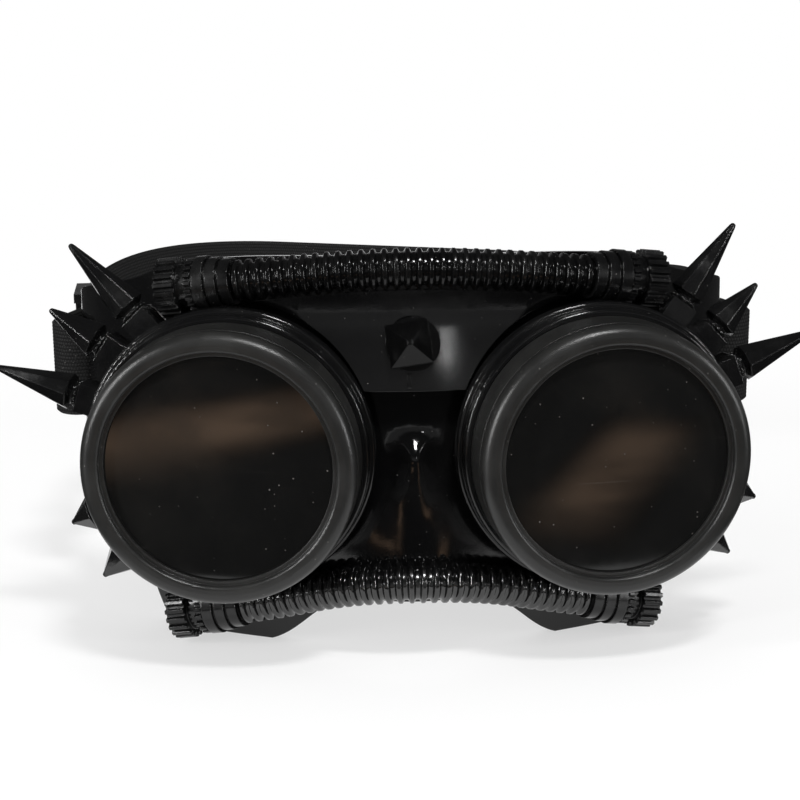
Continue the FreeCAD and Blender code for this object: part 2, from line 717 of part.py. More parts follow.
def make_hose(edge):
    line = hose_line(edge)
    half = hose_half_length(edge)
    tail = len(FERRULE_RADII) * FERRULE_STEP
    first, first_way = signed_station(line, -half)
    last, last_way = signed_station(line, half)
    outer = [circle_wire(first - first_way * tail, first_way, HOSE_ROOT_RADIUS)]
    inner = [circle_wire(first - first_way * tail, first_way, HOSE_BORE)]
    rib_shape = [
        (RIB_RISE_START, HOSE_ROOT_RADIUS),
        (RIB_RISE_END, HOSE_RADIUS),
        (RIB_FALL_START, HOSE_RADIUS),
        (RIB_FALL_END, HOSE_ROOT_RADIUS),
    ]
    for rib in range(RIB_COUNTS[edge]):
        for share, radius in rib_shape:
            point, direction = signed_station(line, -half + (rib + share) * RIB_PITCH)
            outer.append(circle_wire(point, direction, radius))
        point, direction = signed_station(line, -half + (rib + 0.5) * RIB_PITCH)
        inner.append(circle_wire(point, direction, HOSE_BORE))
    outer.append(circle_wire(last + last_way * tail, last_way, HOSE_ROOT_RADIUS))
    inner.append(circle_wire(last + last_way * tail, last_way, HOSE_BORE))
    return Part.makeLoft(outer, True, True).cut(Part.makeLoft(inner, True, True))


def fitting_placement(edge, side):
    # Local Z runs out along the hose from the end of its ribs
    point, direction = signed_station(hose_line(edge), side * hose_half_length(edge))
    return upright_placement(point, direction * side, Vector(0.0, 0.0, 1.0))


def make_ferrule(edge, side):
    bore = HOSE_ROOT_RADIUS + FITTING_GAP
    profile = [(bore, 0.0)]
    for index, radius in enumerate(FERRULE_RADII):
        start = index * FERRULE_STEP
        end = start + FERRULE_STEP - FERRULE_GROOVE
        profile += [(radius, start), (radius, end)]
        profile += [(radius - FERRULE_GROOVE, end), (radius - FERRULE_GROOVE, start + FERRULE_STEP)]
    profile.append((bore, len(FERRULE_RADII) * FERRULE_STEP))
    return placed(revolved(profile), fitting_placement(edge, side))


def toothed_disc(radius, start, length):
    root = radius - CAP_TOOTH_DEPTH
    tooth_shape = [(0.0, root), (TOOTH_ROOT_END, root), (TOOTH_TIP_START, radius), (TOOTH_TIP_END, radius)]
    points = []
    for tooth in range(CAP_TEETH):
        for share, reach in tooth_shape:
            angle = 2.0 * math.pi * (tooth + share) / CAP_TEETH
            points.append(Vector(reach * math.cos(angle), reach * math.sin(angle), start))
    outline = Part.Face(Part.makePolygon(points + points[:1]))
    return outline.extrude(Vector(0.0, 0.0, length))


def make_gear_cap(edge, side):
    start = len(FERRULE_RADII) * FERRULE_STEP + FITTING_GAP
    neck = start + CAP_SMALL_RING_LENGTH
    ring = neck + CAP_NECK_LENGTH
    cap = toothed_disc(CAP_SMALL_RING_RADIUS, start, CAP_SMALL_RING_LENGTH)
    cap = cap.fuse([
        Part.makeCylinder(CAP_NECK_RADIUS, CAP_NECK_LENGTH, Vector(0.0, 0.0, neck)),
        toothed_disc(CAP_RING_RADIUS, ring, CAP_RING_LENGTH),
        Part.makeCylinder(HOSE_BORE - FITTING_GAP, CAP_STEM_LENGTH, Vector(0.0, 0.0, start - CAP_STEM_LENGTH)),
    ])
    return placed(largest_solid(cap), fitting_placement(edge, side))


# Head strap and slider, drawn flat in the plane of the strap
def strap_point(side, along, across):
    flare = math.radians(STRAP_FLARE)
    x = bar_centre(side).x
    run = Vector(side * math.sin(flare), math.cos(flare), 0.0)
    outward = Vector(side * math.cos(flare), -math.sin(flare), 0.0)
    return Vector(x, 0.0, 0.0) + run * along + outward * across


def strap_end(side, tail):
    # From the end of the tail, forward, round the bar and back to the start of the run
    layer = (STRAP_THICKNESS + STRAP_LAYER_GAP) / 2.0
    loop = SHELL_WALL / 2.0 + 2.0 * STRAP_BAR_GAP + STRAP_THICKNESS / 2.0
    turn = STRAP_BAR_GAP - EAR_BAR_WIDTH / 2.0
    loop_middle = (STRAP_LOOP_OUT - loop) / 2.0
    loop_reach = (STRAP_LOOP_OUT + loop) / 2.0
    spots = [
        strap_point(side, tail, -layer),
        strap_point(side, STRAP_JOIN, -layer),
        strap_point(side, STRAP_BAR_GAP, -loop),
        strap_point(side, turn, -loop),
    ]
    edges = [Part.makeLine(start, end) for start, end in zip(spots, spots[1:])]
    far = strap_point(side, turn - loop_reach, loop_middle)
    edges.append(Part.Arc(spots[-1], far, strap_point(side, turn, STRAP_LOOP_OUT)).toShape())
    spots = [
        strap_point(side, turn, STRAP_LOOP_OUT),
        strap_point(side, STRAP_BAR_GAP, STRAP_LOOP_OUT),
        strap_point(side, STRAP_JOIN, layer),
        strap_point(side, STRAP_RUN, layer),
    ]
    edges += [Part.makeLine(start, end) for start, end in zip(spots, spots[1:])]
    return edges


def strap_corner(side):
    layer = (STRAP_THICKNESS + STRAP_LAYER_GAP) / 2.0
    start = strap_point(side, STRAP_RUN, layer)
    centre = strap_point(side, STRAP_RUN, layer - STRAP_CORNER_RADIUS)
    middle = start - centre
    end = centre + Vector(0.0, STRAP_CORNER_RADIUS, 0.0)
    halfway = (middle + Vector(0.0, STRAP_CORNER_RADIUS, 0.0)).normalize() * STRAP_CORNER_RADIUS
    return Part.Arc(start, centre + halfway, end).toShape(), end


def make_head_strap():
    left_corner, left_end = strap_corner(-1.0)
    right_corner, right_end = strap_corner(1.0)
    edges = strap_end(-1.0, STRAP_TAIL) + [left_corner, Part.makeLine(left_end, right_end)]
    edges += [right_corner] + strap_end(1.0, STRAP_SEWN_TAIL)
    path = Part.Wire(Part.__sortEdges__(edges))
    band = path.makeOffset2D(STRAP_THICKNESS / 2.0, 0, True, False)
    band.translate(Vector(0.0, 0.0, -STRAP_WIDTH / 2.0))
    return placed(band.extrude(Vector(0.0, 0.0, STRAP_WIDTH)), strap_placement())


def make_strap_slider():
    stack = STRAP_THICKNESS + STRAP_LAYER_GAP / 2.0 + SLIDER_CLEARANCE
    inner_height = STRAP_WIDTH + 2.0 * SLIDER_CLEARANCE
    height = inner_height + 2.0 * SLIDER_RAIL
    depth = 2.0 * (stack + SLIDER_THICKNESS)
    frame = Part.makeBox(depth, SLIDER_LENGTH, height, Vector(-depth / 2.0, -SLIDER_LENGTH / 2.0, -height / 2.0))
    corner = Vector(-stack, -SLIDER_LENGTH, -inner_height / 2.0)
    frame = frame.cut(Part.makeBox(2.0 * stack, 2.0 * SLIDER_LENGTH, inner_height, corner))
    window = (SLIDER_LENGTH - 3.0 * SLIDER_BAR) / 2.0
    outer_ends = (-SLIDER_LENGTH / 2.0, SLIDER_BAR / 2.0)
    for start in outer_ends:
        length = SLIDER_BAR + window
        room = Part.makeBox(depth, length, inner_height, Vector(-depth, start, -inner_height / 2.0))
        frame = frame.cut(room)
    middle = SLIDER_LENGTH - 2.0 * SLIDER_BAR
    frame = frame.cut(Part.makeBox(depth, middle, inner_height, Vector(0.0, -middle / 2.0, -inner_height / 2.0)))
    frame.rotate(Vector(0.0, 0.0, 0.0), Vector(0.0, 0.0, 1.0), STRAP_FLARE)
    frame.translate(strap_point(-1.0, SLIDER_PLACE, 0.0))
    return placed(largest_solid(frame), strap_placement())


def make_parts():
    parts = {
        "mask_shell": make_mask_shell(),
        "brow_plate": make_brow_plate(),
        "brow_stud": make_brow_stud(),
        "head_strap": make_head_strap(),
        "strap_slider": make_strap_slider(),
        "top_hose": make_hose("top"),
        "bottom_hose": make_hose("bottom"),
    }
    for name, side in SIDES.items():
        parts[name + "_eye_cup"] = make_eye_cup(side)
        parts[name + "_bezel"] = make_bezel(side)
        parts[name + "_lens"] = make_lens(side)
        for spike in SPIKE_LENGTHS:
            parts[name + "_" + spike + "_spike"] = make_spike(side, spike)
        for edge in HOSE_HEIGHTS:
            parts[edge + "_" + name + "_ferrule"] = make_ferrule(edge, side)
            parts[edge + "_" + name + "_gear_cap"] = make_gear_cap(edge, side)
    return parts


def middle_of_depth(parts):
    # The origin sits halfway between the front of the bezels and the back of the strap
    front = parts["left_bezel"].optimalBoundingBox(False).YMin
    back = parts["head_strap"].optimalBoundingBox(False).YMax
    return (front + back) / 2.0


def main():
    os.makedirs("parts", exist_ok=True)
    parts = make_parts()
    shift = Vector(0.0, -middle_of_depth(parts), 0.0)
    for name, shape in parts.items():
        shape.translate(shift)
        shape.exportStep(os.path.join("parts", name + ".step"))
        box = shape.BoundBox
        print(name, shape.isValid(), len(shape.Solids), round(shape.Volume, 1),
              [round(value, 2) for value in (box.XMin, box.YMin, box.ZMin, box.XMax, box.YMax, box.ZMax)])
    print("shift", round(shift.y, 4))


main()
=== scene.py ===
import json
import math

import bmesh
import bpy
from mathutils import Matrix, Vector


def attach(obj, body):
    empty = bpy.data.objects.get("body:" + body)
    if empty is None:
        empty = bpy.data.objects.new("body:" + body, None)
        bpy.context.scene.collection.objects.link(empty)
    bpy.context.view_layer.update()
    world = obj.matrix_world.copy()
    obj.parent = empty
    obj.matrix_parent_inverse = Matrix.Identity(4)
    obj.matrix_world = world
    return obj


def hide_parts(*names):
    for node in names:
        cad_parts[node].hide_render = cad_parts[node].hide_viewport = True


# Black costume goggles on a half mask: gloss moulded plastic, satin screw rings,
# dark lenses, ribbed hoses, beaded spike collars and a woven elastic head strap.

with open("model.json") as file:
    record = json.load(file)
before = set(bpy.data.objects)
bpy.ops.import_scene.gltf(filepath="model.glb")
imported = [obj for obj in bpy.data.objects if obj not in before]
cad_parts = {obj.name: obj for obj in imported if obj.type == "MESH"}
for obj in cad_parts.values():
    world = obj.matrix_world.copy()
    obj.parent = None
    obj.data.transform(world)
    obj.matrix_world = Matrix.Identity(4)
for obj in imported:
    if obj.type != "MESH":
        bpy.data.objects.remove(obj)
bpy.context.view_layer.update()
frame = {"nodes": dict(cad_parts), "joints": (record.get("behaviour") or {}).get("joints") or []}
nodes = frame["nodes"]

MM = 0.001
SIDES = {"left": -1.0, "right": 1.0}

# Where the eyes are, read from the joints of the screw rings
JOINTS = {joint["name"]: joint for joint in frame["joints"]}
EYE_CENTRES = {side: Vector(JOINTS[side + "_bezel_turn"]["pos_m"]) for side in SIDES}
EYE_AXES = {side: Vector(JOINTS[side + "_bezel_turn"]["axis"]) for side in SIDES}
EYE_FRONT = EYE_CENTRES["left"].y
EYE_HEIGHT = EYE_CENTRES["left"].z

# Curve of the face shell that the hoses follow
SHELL_FRONT = EYE_FRONT + 20.0 * MM
SHELL_HALF_WIDTH = 77.0 * MM
SHELL_WRAP_DEPTH = 58.0 * MM
SHELL_WALL = 2.2 * MM
SHELL_CROWN = 3.0 * MM
SHELL_MID_HEIGHT = EYE_HEIGHT + 4.0 * MM
NOSE_TOP = EYE_HEIGHT + 12.0 * MM
NOSE_BOTTOM = 6.0 * MM
NOSE_PROUD = 7.0 * MM
NOSE_HALF_WIDTH_TOP = 9.0 * MM
NOSE_HALF_WIDTH_BOTTOM = 20.0 * MM

# Ribbed hoses
HOSE_RADIUS = 4.4 * MM
HOSE_ROOT_RADIUS = 3.55 * MM
HOSE_SHELL_GAP = 0.3 * MM
HOSE_TAIL = 8.1 * MM
RIB_PITCH = 2.4 * MM
RIB_RISE_START = 0.1
RIB_RISE_END = 0.36
RIB_FALL_START = 0.59
RIB_FALL_END = 0.85
HOSE_RIBS = {"top": 32, "bottom": 34}
HOSE_HEIGHTS = {"top": EYE_HEIGHT + 38.6 * MM, "bottom": EYE_HEIGHT - 28.5 * MM}
HOSE_DROPS = {"top": 12.0 * MM, "bottom": 8.2 * MM}
HOSE_SPANS = {"top": 110.0 * MM, "bottom": 46.0 * MM}
HOSE_WRAP_ANGLE = 60.0
HOSE_LINE_STEPS = 400
FITTING_LIFT = 1.6 * MM
FITTING_LIFT_ANGLE = 30.0
RIB_SAMPLES = 18
HOSE_ROUND_SAMPLES = 36

# Head strap
EAR_ANGLE = 84.0
EAR_HEIGHT = EYE_HEIGHT + 9.0 * MM
EAR_BAR_WIDTH = 3.6 * MM
STRAP_WIDTH = 22.0 * MM
STRAP_THICKNESS = 1.4 * MM
STRAP_TILT = math.radians(3.0)
STRAP_FLARE = math.radians(3.0)
STRAP_RUN = 38.0 * MM
STRAP_JOIN = 13.0 * MM
STRAP_CORNER_RADIUS = 48.0 * MM
STRAP_TAILS = {"left": 36.0 * MM, "right": 20.0 * MM}
STRAP_LAYER_GAP = 0.2 * MM
STRAP_LOOP_OUT = 7.4 * MM
STRAP_BAR_GAP = 0.3 * MM
STRAP_STEP = 1.2 * MM
STRAP_SMOOTHING = 3
STRAP_RIBS = 26
STRAP_RIB_HEIGHT = 0.07 * MM
STRAP_PICK = 0.62 * MM
STRAP_SAG = 1.5 * MM
STRAP_LEAN = 0.055
STRAP_LEAN_START = 40.0 * MM
STRAP_LEAN_END = 90.0 * MM
STRAP_EDGE_ROUND = 0.45 * MM
STRAP_EDGE_PINCH = 0.55
STRAP_RIB_STEPS = 4

# Stitches of the sewn end
STITCH_ROWS = (15.2 * MM, 17.6 * MM)
STITCHES_IN_ROW = 11
STITCH_LENGTH = 1.5 * MM
STITCH_THICKNESS = 0.42 * MM
STITCH_ROW_LENGTH = STRAP_WIDTH - 4.0 * MM
STITCH_SEGMENTS = 10
STITCH_RINGS = 8

# Beaded collars at the spike necks
SPIKE_NAMES = ("upper", "middle", "outer", "lower", "cheek")
SPIKE_PIN_LENGTH = 4.0 * MM
SPIKE_NECK_RADIUS = 2.5 * MM
SPIKE_NECK_LENGTH = 1.4 * MM
BEADS_IN_COLLAR = 12
BEAD_RADIUS = 0.62 * MM
BEAD_SIZE_SPREAD = 0.1
BEAD_SEED = 7
BEAD_SUBDIVISIONS = 2
SPIKE_TIP_ZONE = 1.0 * MM
SPIKE_PIN_ZONE = 0.1 * MM
SPIKE_LINE_ROUNDS = 4

# Camera fitted to the two screw rings of the photograph
CAMERA_AZIMUTH = math.radians(-2.37)
CAMERA_ELEVATION = math.radians(12.85)
CAMERA_ROLL = math.radians(-0.56)
CAMERA_DISTANCE = 400.0 * MM
CAMERA_TARGET = Vector((-3.82 * MM, EYE_FRONT, 60.51 * MM))
CAMERA_FOCAL_PIXELS = 1955.17
CAMERA_CLIP_START = 10.0 * MM
IMAGE_PIXELS = 800.0
SENSOR_WIDTH = 36.0


# Curves of the object
def smooth_step(amount):
    held = min(max(amount, 0.0), 1.0)
    return held * held * (3.0 - 2.0 * held)


def shell_point(angle, height):
    turn = math.radians(angle)
    x = SHELL_HALF_WIDTH * math.sin(turn)
    crown = SHELL_CROWN * ((height - SHELL_MID_HEIGHT) / SHELL_MID_HEIGHT) ** 2
    fall = (NOSE_TOP - height) / (NOSE_TOP - NOSE_BOTTOM)
    widening = NOSE_HALF_WIDTH_BOTTOM - NOSE_HALF_WIDTH_TOP
    half_width = NOSE_HALF_WIDTH_TOP + widening * min(max(fall, 0.0), 1.0)
    nose = NOSE_PROUD * smooth_step(fall) * math.exp(-(x / half_width) ** 2)
    y = SHELL_FRONT + SHELL_WRAP_DEPTH * (1.0 - math.cos(turn)) + crown - nose
    return Vector((x, y, height))


def raised_point(angle, height, lift):
    turn_step = 0.05
    height_step = 0.05 * MM
    along = shell_point(angle + turn_step, height) - shell_point(angle - turn_step, height)
    upward = shell_point(angle, height + height_step) - shell_point(angle, height - height_step)
    return shell_point(angle, height) + along.cross(upward).normalized() * lift


def hose_height(edge, angle):
    x = abs(SHELL_HALF_WIDTH * math.sin(math.radians(angle)))
    return HOSE_HEIGHTS[edge] - HOSE_DROPS[edge] * smooth_step(x / HOSE_SPANS[edge])


def hose_half_line(edge):
    # Points from the middle of the hose to its right end, with the straight tail
    rib_length = HOSE_RIBS[edge] * RIB_PITCH / 2.0
    points = []
    length = 0.0
    for index in range(HOSE_LINE_STEPS):
        angle = HOSE_WRAP_ANGLE * index / (HOSE_LINE_STEPS - 1)
        lift = HOSE_RADIUS + HOSE_SHELL_GAP + FITTING_LIFT * (angle / FITTING_LIFT_ANGLE) ** 2
        point = raised_point(angle, hose_height(edge, angle), lift)
        if points:
            step = (point - points[-1]).length
            if length + step >= rib_length:
                way = (point - points[-1]).normalized()
                end = points[-1] + way * (rib_length - length)
                return points + [end, end + way * HOSE_TAIL]
            length += step
        points.append(point)
    raise ValueError("the hose line is too short")


def hose_line(edge):
    right = hose_half_line(edge)
    left = [Vector((-point.x, point.y, point.z)) for point in reversed(right[1:])]
    return left + right


def ear_bar_centre():
    half_degree = 0.5
    before = shell_point(EAR_ANGLE - half_degree, EAR_HEIGHT)
    after = shell_point(EAR_ANGLE + half_degree, EAR_HEIGHT)
    angle = EAR_ANGLE - EAR_BAR_WIDTH / 2.0 / (after - before).length
    return raised_point(angle, EAR_HEIGHT, -SHELL_WALL / 2.0)


BAR_CENTRE = ear_bar_centre()
STRAP_TURN = Matrix.Rotation(STRAP_TILT, 3, "X")
STRAP_UP = STRAP_TURN @ Vector((0.0, 0.0, 1.0))


def strap_point(side, along, across):
    # A point in the flat plane of the strap, before it is tilted
    run = Vector((side * math.sin(STRAP_FLARE), math.cos(STRAP_FLARE), 0.0))
    outward = Vector((side * math.cos(STRAP_FLARE), -math.sin(STRAP_FLARE), 0.0))
    return Vector((side * BAR_CENTRE.x, 0.0, 0.0)) + run * along + outward * across


def strap_space(flat, height=0.0):
    # Behind the head the loose strap sags a little and leans, down on the right and up on the left
    hang = smooth_step((flat.y - STRAP_LEAN_START) / (STRAP_LEAN_END - STRAP_LEAN_START))
    lifted = flat + Vector((0.0, 0.0, height - hang * (STRAP_SAG + STRAP_LEAN * flat.x)))
    return STRAP_TURN @ lifted + Vector((0.0, BAR_CENTRE.y, EAR_HEIGHT))


def line_points(start, end):
    count = max(2, round((end - start).length / STRAP_STEP))
    return [start.lerp(end, index / count) for index in range(count)]


def arc_points(centre, start, end, middle):
    # Points on a circle from start through the middle to the end
    radius = (start - centre).length
    first = math.atan2(start.y - centre.y, start.x - centre.x)
    halfway = math.atan2(middle.y - centre.y, middle.x - centre.x)
    last = math.atan2(end.y - centre.y, end.x - centre.x)
    sweep = turn_between(first, halfway) + turn_between(halfway, last)
    count = max(6, round(abs(sweep) * radius / STRAP_STEP))
    found = []
    for index in range(count):
        angle = first + sweep * index / count
        found.append(centre + Vector((math.cos(angle), math.sin(angle), 0.0)) * radius)
    return found


def turn_between(first, second):
    return (second - first + math.pi) % (2.0 * math.pi) - math.pi


def strap_end(side, tail):
    # From the end of the tail, forward, round the ear bar and back to the start of the corner
    layer = (STRAP_THICKNESS + STRAP_LAYER_GAP) / 2.0
    loop = SHELL_WALL / 2.0 + 2.0 * STRAP_BAR_GAP + STRAP_THICKNESS / 2.0
    turn = STRAP_BAR_GAP - EAR_BAR_WIDTH / 2.0
    loop_middle = (STRAP_LOOP_OUT - loop) / 2.0
    loop_reach = (STRAP_LOOP_OUT + loop) / 2.0
    inner = [
        strap_point(side, tail, -layer),
        strap_point(side, STRAP_JOIN, -layer),
        strap_point(side, STRAP_BAR_GAP, -loop),
        strap_point(side, turn, -loop),
    ]
    outer = [
        strap_point(side, turn, STRAP_LOOP_OUT),
        strap_point(side, STRAP_BAR_GAP, STRAP_LOOP_OUT),
        strap_point(side, STRAP_JOIN, layer),
        strap_point(side, STRAP_RUN, layer),
    ]
    points = []
    for start, end in zip(inner, inner[1:]):
        points += line_points(start, end)
    centre = strap_point(side, turn, loop_middle)
    front = strap_point(side, turn - loop_reach, loop_middle)
    points += arc_points(centre, inner[-1], outer[0], front)
    for start, end in zip(outer, outer[1:]):
        points += line_points(start, end)
    centre = strap_point(side, STRAP_RUN, layer - STRAP_CORNER_RADIUS)
    back = centre + Vector((0.0, STRAP_CORNER_RADIUS, 0.0))
    middle = centre + ((outer[-1] - centre) + (back - centre)).normalized() * STRAP_CORNER_RADIUS
    points += arc_points(centre, outer[-1], back, middle)
    return points + [back]


def strap_path():
    left = strap_end(SIDES["left"], STRAP_TAILS["left"])
    right = strap_end(SIDES["right"], STRAP_TAILS["right"])
    points = left + line_points(left[-1], right[-1])[1:] + list(reversed(right))
    for _ in range(STRAP_SMOOTHING):
        eased = [points[0]]
        for before, here, after in zip(points, points[1:], points[2:]):
            eased.append(here * 0.5 + (before + after) * 0.25)
        points = eased + [points[-1]]
    return points


# Objects
def linked_object(name, data):
    holder = bpy.data.objects.new(name, data)
    bpy.context.scene.collection.objects.link(holder)
    return holder


def mesh_piece(name, mesh, material, body):
    piece = linked_object(name, mesh)
    if not mesh.materials:
        mesh.materials.append(material)
    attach(piece, body)
    return piece


def points_object(name, points):
    mesh = bpy.data.meshes.new(name)
    mesh.from_pydata([tuple(point) for point in points], [], [])
    return linked_object(name, mesh)


def line_object(name, points):
    curve = bpy.data.curves.new(name, "CURVE")
    curve.dimensions = "3D"
    spline = curve.splines.new("POLY")
    spline.points.add(len(points) - 1)
    for target, point in zip(spline.points, points):
        target.co = (*point, 1.0)
    return linked_object(name, curve)


def run_tree(holder, tree, values):
    # Runs a geometry tree on an object and gives back its result as a plain mesh
    modifier = holder.modifiers.new(tree.name, "NODES")
    modifier.node_group = tree
    for item in tree.interface.items_tree:
        if item.item_type == "SOCKET" and item.in_out == "INPUT" and item.name in values:
            modifier[item.identifier] = values[item.name]
    holder.update_tag()
    graph = bpy.context.evaluated_depsgraph_get()
    graph.update()
    mesh = bpy.data.meshes.new_from_object(holder.evaluated_get(graph), depsgraph=graph)
    mesh.name = holder.name + "_mesh"
    holder.modifiers.remove(modifier)
    bpy.data.objects.remove(holder)
    return mesh


# Node trees
def new_tree(name, kind, inputs, outputs):
    tree = bpy.data.node_groups.new(name, kind)
    for label, socket_kind, value in inputs:
        socket = tree.interface.new_socket(label, in_out="INPUT", socket_type=socket_kind)
        if value is not None:
            socket.default_value = value
    for label, socket_kind in outputs:
        tree.interface.new_socket(label, in_out="OUTPUT", socket_type=socket_kind)
    return tree, tree.nodes.new("NodeGroupInput"), tree.nodes.new("NodeGroupOutput")


def geometry_tree(name, inputs):
    shape = ("Geometry", "NodeSocketGeometry")
    finish = ("Finish", "NodeSocketMaterial", None)
    return new_tree(name, "GeometryNodeTree", [(*shape, None), *inputs, finish], [shape])


def shader_group(name, inputs, outputs):
    vector = ("Vector", "NodeSocketVector", None)
    return new_tree(name, "ShaderNodeTree", [vector, *inputs], outputs)


def add_node(tree, kind, inputs=None, **settings):
    # A node with its settings, where each input is a plain value or another node's output
    node = tree.nodes.new(kind)
    for name, value in settings.items():
        setattr(node, name, value)
    for label, value in (inputs or {}).items():
        if isinstance(value, bpy.types.NodeSocket):
            tree.links.new(value, node.inputs[label])
        else:
            node.inputs[label].default_value = value
    return node


def tree_math(tree, operation, first, second=0.0):
    return add_node(tree, "ShaderNodeMath", {0: first, 1: second}, operation=operation).outputs[0]


def noise(tree, vector, scale, detail=3.0, roughness=0.55):
    return add_node(tree, "ShaderNodeTexNoise", {
        "Vector": vector,
        "Scale": scale,
        "Detail": detail,
        "Roughness": roughness,
    }).outputs["Fac"]


def ramp(tree, value, low, high, low_value=0.0, high_value=1.0):
    return add_node(tree, "ShaderNodeMapRange", {
        "Value": value,
        "From Min": low,
        "From Max": high,
        "To Min": low_value,
        "To Max": high_value,
    }, interpolation_type="SMOOTHSTEP").outputs["Result"]


# Geometry trees
def finish_tree(tree, given, result, geometry):
    real = add_node(tree, "GeometryNodeRealizeInstances", {"Geometry": geometry})
    smooth = add_node(tree, "GeometryNodeSetShadeSmooth", {"Geometry": real.outputs["Geometry"]})
    finish = add_node(tree, "GeometryNodeSetMaterial", {
        "Geometry": smooth.outputs["Geometry"],
        "Material": given.outputs["Finish"],
    })
    tree.links.new(finish.outputs["Geometry"], result.inputs["Geometry"])
    return tree


def ribbed_hose_tree():
    # A tube whose radius rises into one rounded rib in every pitch between its straight tails
    tree, given, result = geometry_tree("ribbed_hose", [
        ("Root Radius", "NodeSocketFloat", HOSE_ROOT_RADIUS),
        ("Rib Radius", "NodeSocketFloat", HOSE_RADIUS),
        ("Rib Pitch", "NodeSocketFloat", RIB_PITCH),
        ("Rib Count", "NodeSocketInt", HOSE_RIBS["top"]),
        ("Tail Length", "NodeSocketFloat", HOSE_TAIL),
        ("Samples Along", "NodeSocketInt", RIB_SAMPLES * HOSE_RIBS["top"]),
        ("Samples Round", "NodeSocketInt", HOSE_ROUND_SAMPLES),
    ])
    sizes = given.outputs
    line = add_node(tree, "GeometryNodeResampleCurve", {
        "Curve": sizes["Geometry"],
        "Count": sizes["Samples Along"],
    })
    along = add_node(tree, "GeometryNodeSplineParameter").outputs["Length"]
    past_tail = tree_math(tree, "SUBTRACT", along, sizes["Tail Length"])
    in_ribs = tree_math(tree, "DIVIDE", past_tail, sizes["Rib Pitch"])
    after_start = tree_math(tree, "GREATER_THAN", in_ribs, 0.0)
    before_end = tree_math(tree, "LESS_THAN", in_ribs, sizes["Rib Count"])
    ribbed = tree_math(tree, "MULTIPLY", after_start, before_end)
    place = tree_math(tree, "FRACT", in_ribs)
    rise = ramp(tree, place, RIB_RISE_START, RIB_RISE_END)
    fall = ramp(tree, place, RIB_FALL_START, RIB_FALL_END, 1.0, 0.0)
    bulge = tree_math(tree, "MULTIPLY", rise, fall)
    depth = tree_math(tree, "SUBTRACT", sizes["Rib Radius"], sizes["Root Radius"])
    swell = tree_math(tree, "MULTIPLY", tree_math(tree, "MULTIPLY", bulge, ribbed), depth)
    circle = add_node(tree, "GeometryNodeCurvePrimitiveCircle", {
        "Radius": 1.0,
        "Resolution": sizes["Samples Round"],
    })
    sweep = add_node(tree, "GeometryNodeCurveToMesh", {
        "Curve": line.outputs["Curve"],
        "Profile Curve": circle.outputs["Curve"],
        "Scale": tree_math(tree, "ADD", sizes["Root Radius"], swell),
        "Fill Caps": True,
    })
    return finish_tree(tree, given, result, sweep.outputs["Mesh"])


def bead_tree():
    # One small ball on every point, each a little different in size
    tree, given, result = geometry_tree("bead_collar", [
        ("Bead Radius", "NodeSocketFloat", BEAD_RADIUS),
        ("Size Spread", "NodeSocketFloat", BEAD_SIZE_SPREAD),
        ("Seed", "NodeSocketInt", BEAD_SEED),
    ])
    ball = add_node(tree, "GeometryNodeMeshIcoSphere", {
        "Radius": given.outputs["Bead Radius"],
        "Subdivisions": BEAD_SUBDIVISIONS,
    })
    smallest = tree_math(tree, "SUBTRACT", 1.0, given.outputs["Size Spread"])
    random = add_node(tree, "FunctionNodeRandomValue", {
        2: smallest,
        3: 1.0,
        "Seed": given.outputs["Seed"],
    }, data_type="FLOAT")
    place = add_node(tree, "GeometryNodeInstanceOnPoints", {
        "Points": given.outputs["Geometry"],
        "Instance": ball.outputs["Mesh"],
        "Scale": random.outputs[1],
    })
    return finish_tree(tree, given, result, place.outputs["Instances"])


def stitch_tree():
    # One short thread on every point, laid along the given direction
    tree, given, result = geometry_tree("strap_stitch", [
        ("Stitch Length", "NodeSocketFloat", STITCH_LENGTH),
        ("Stitch Thickness", "NodeSocketFloat", STITCH_THICKNESS),
        ("Direction", "NodeSocketVector", tuple(STRAP_UP)),
    ])
    thread = add_node(tree, "GeometryNodeMeshUVSphere", {
        "Segments": STITCH_SEGMENTS,
        "Rings": STITCH_RINGS,
        "Radius": 0.5,
    })
    size = add_node(tree, "ShaderNodeCombineXYZ", {
        "X": given.outputs["Stitch Thickness"],
        "Y": given.outputs["Stitch Thickness"],
        "Z": given.outputs["Stitch Length"],
    })
    lay = add_node(tree, "FunctionNodeAlignRotationToVector", {
        "Vector": given.outputs["Direction"],
    }, axis="Z")
    place = add_node(tree, "GeometryNodeInstanceOnPoints", {
        "Points": given.outputs["Geometry"],
        "Instance": thread.outputs["Mesh"],
        "Rotation": lay.outputs["Rotation"],
        "Scale": size.outputs["Vector"],
    })
    return finish_tree(tree, given, result, place.outputs["Instances"])


# Values of the finishes, with scales in repeats per metre
SPECK_CORE = 0.05
SPECK_EDGE = 0.24
DUST_PATCH_SCALE = 60.0
DUST_PATCH_LOW = 0.35
DUST_PATCH_HIGH = 0.7
DUST_COLOUR = (0.22, 0.21, 0.2)
DUST_ROUGHNESS = 0.5
SMUDGE_DETAIL = 5.0
SMUDGE_ROUGHNESS = 0.62
SMUDGE_LOW = 0.42
SMUDGE_HIGH = 0.72
GRAIN_DETAIL = 2.0
EDGE_SAMPLES = 6

# What the moulded finishes have in common
GLOSS_VALUES = {
    "smudge_scale": 42.0,
    "speck_scale": 1300.0,
    "dust_amount": 0.035,
    "wave_scale": 110.0,
    "grain_scale": 2600.0,
    "grain_share": 0.08,
    "bump_strength": 0.12,
    "bump_distance": 0.4 * MM,
    "specular": 0.5,
    "edge_round": 0.3 * MM,
}

# What the two hoses have in common
HOSE_VALUES = {
    "colours": ((0.003, 0.003, 0.0031), (0.006, 0.006, 0.006)),
    "smudge_scale": 90.0,
    "wave_scale": 300.0,
    "dust_amount": 0.03,
    "edge_round": 0.0,
}

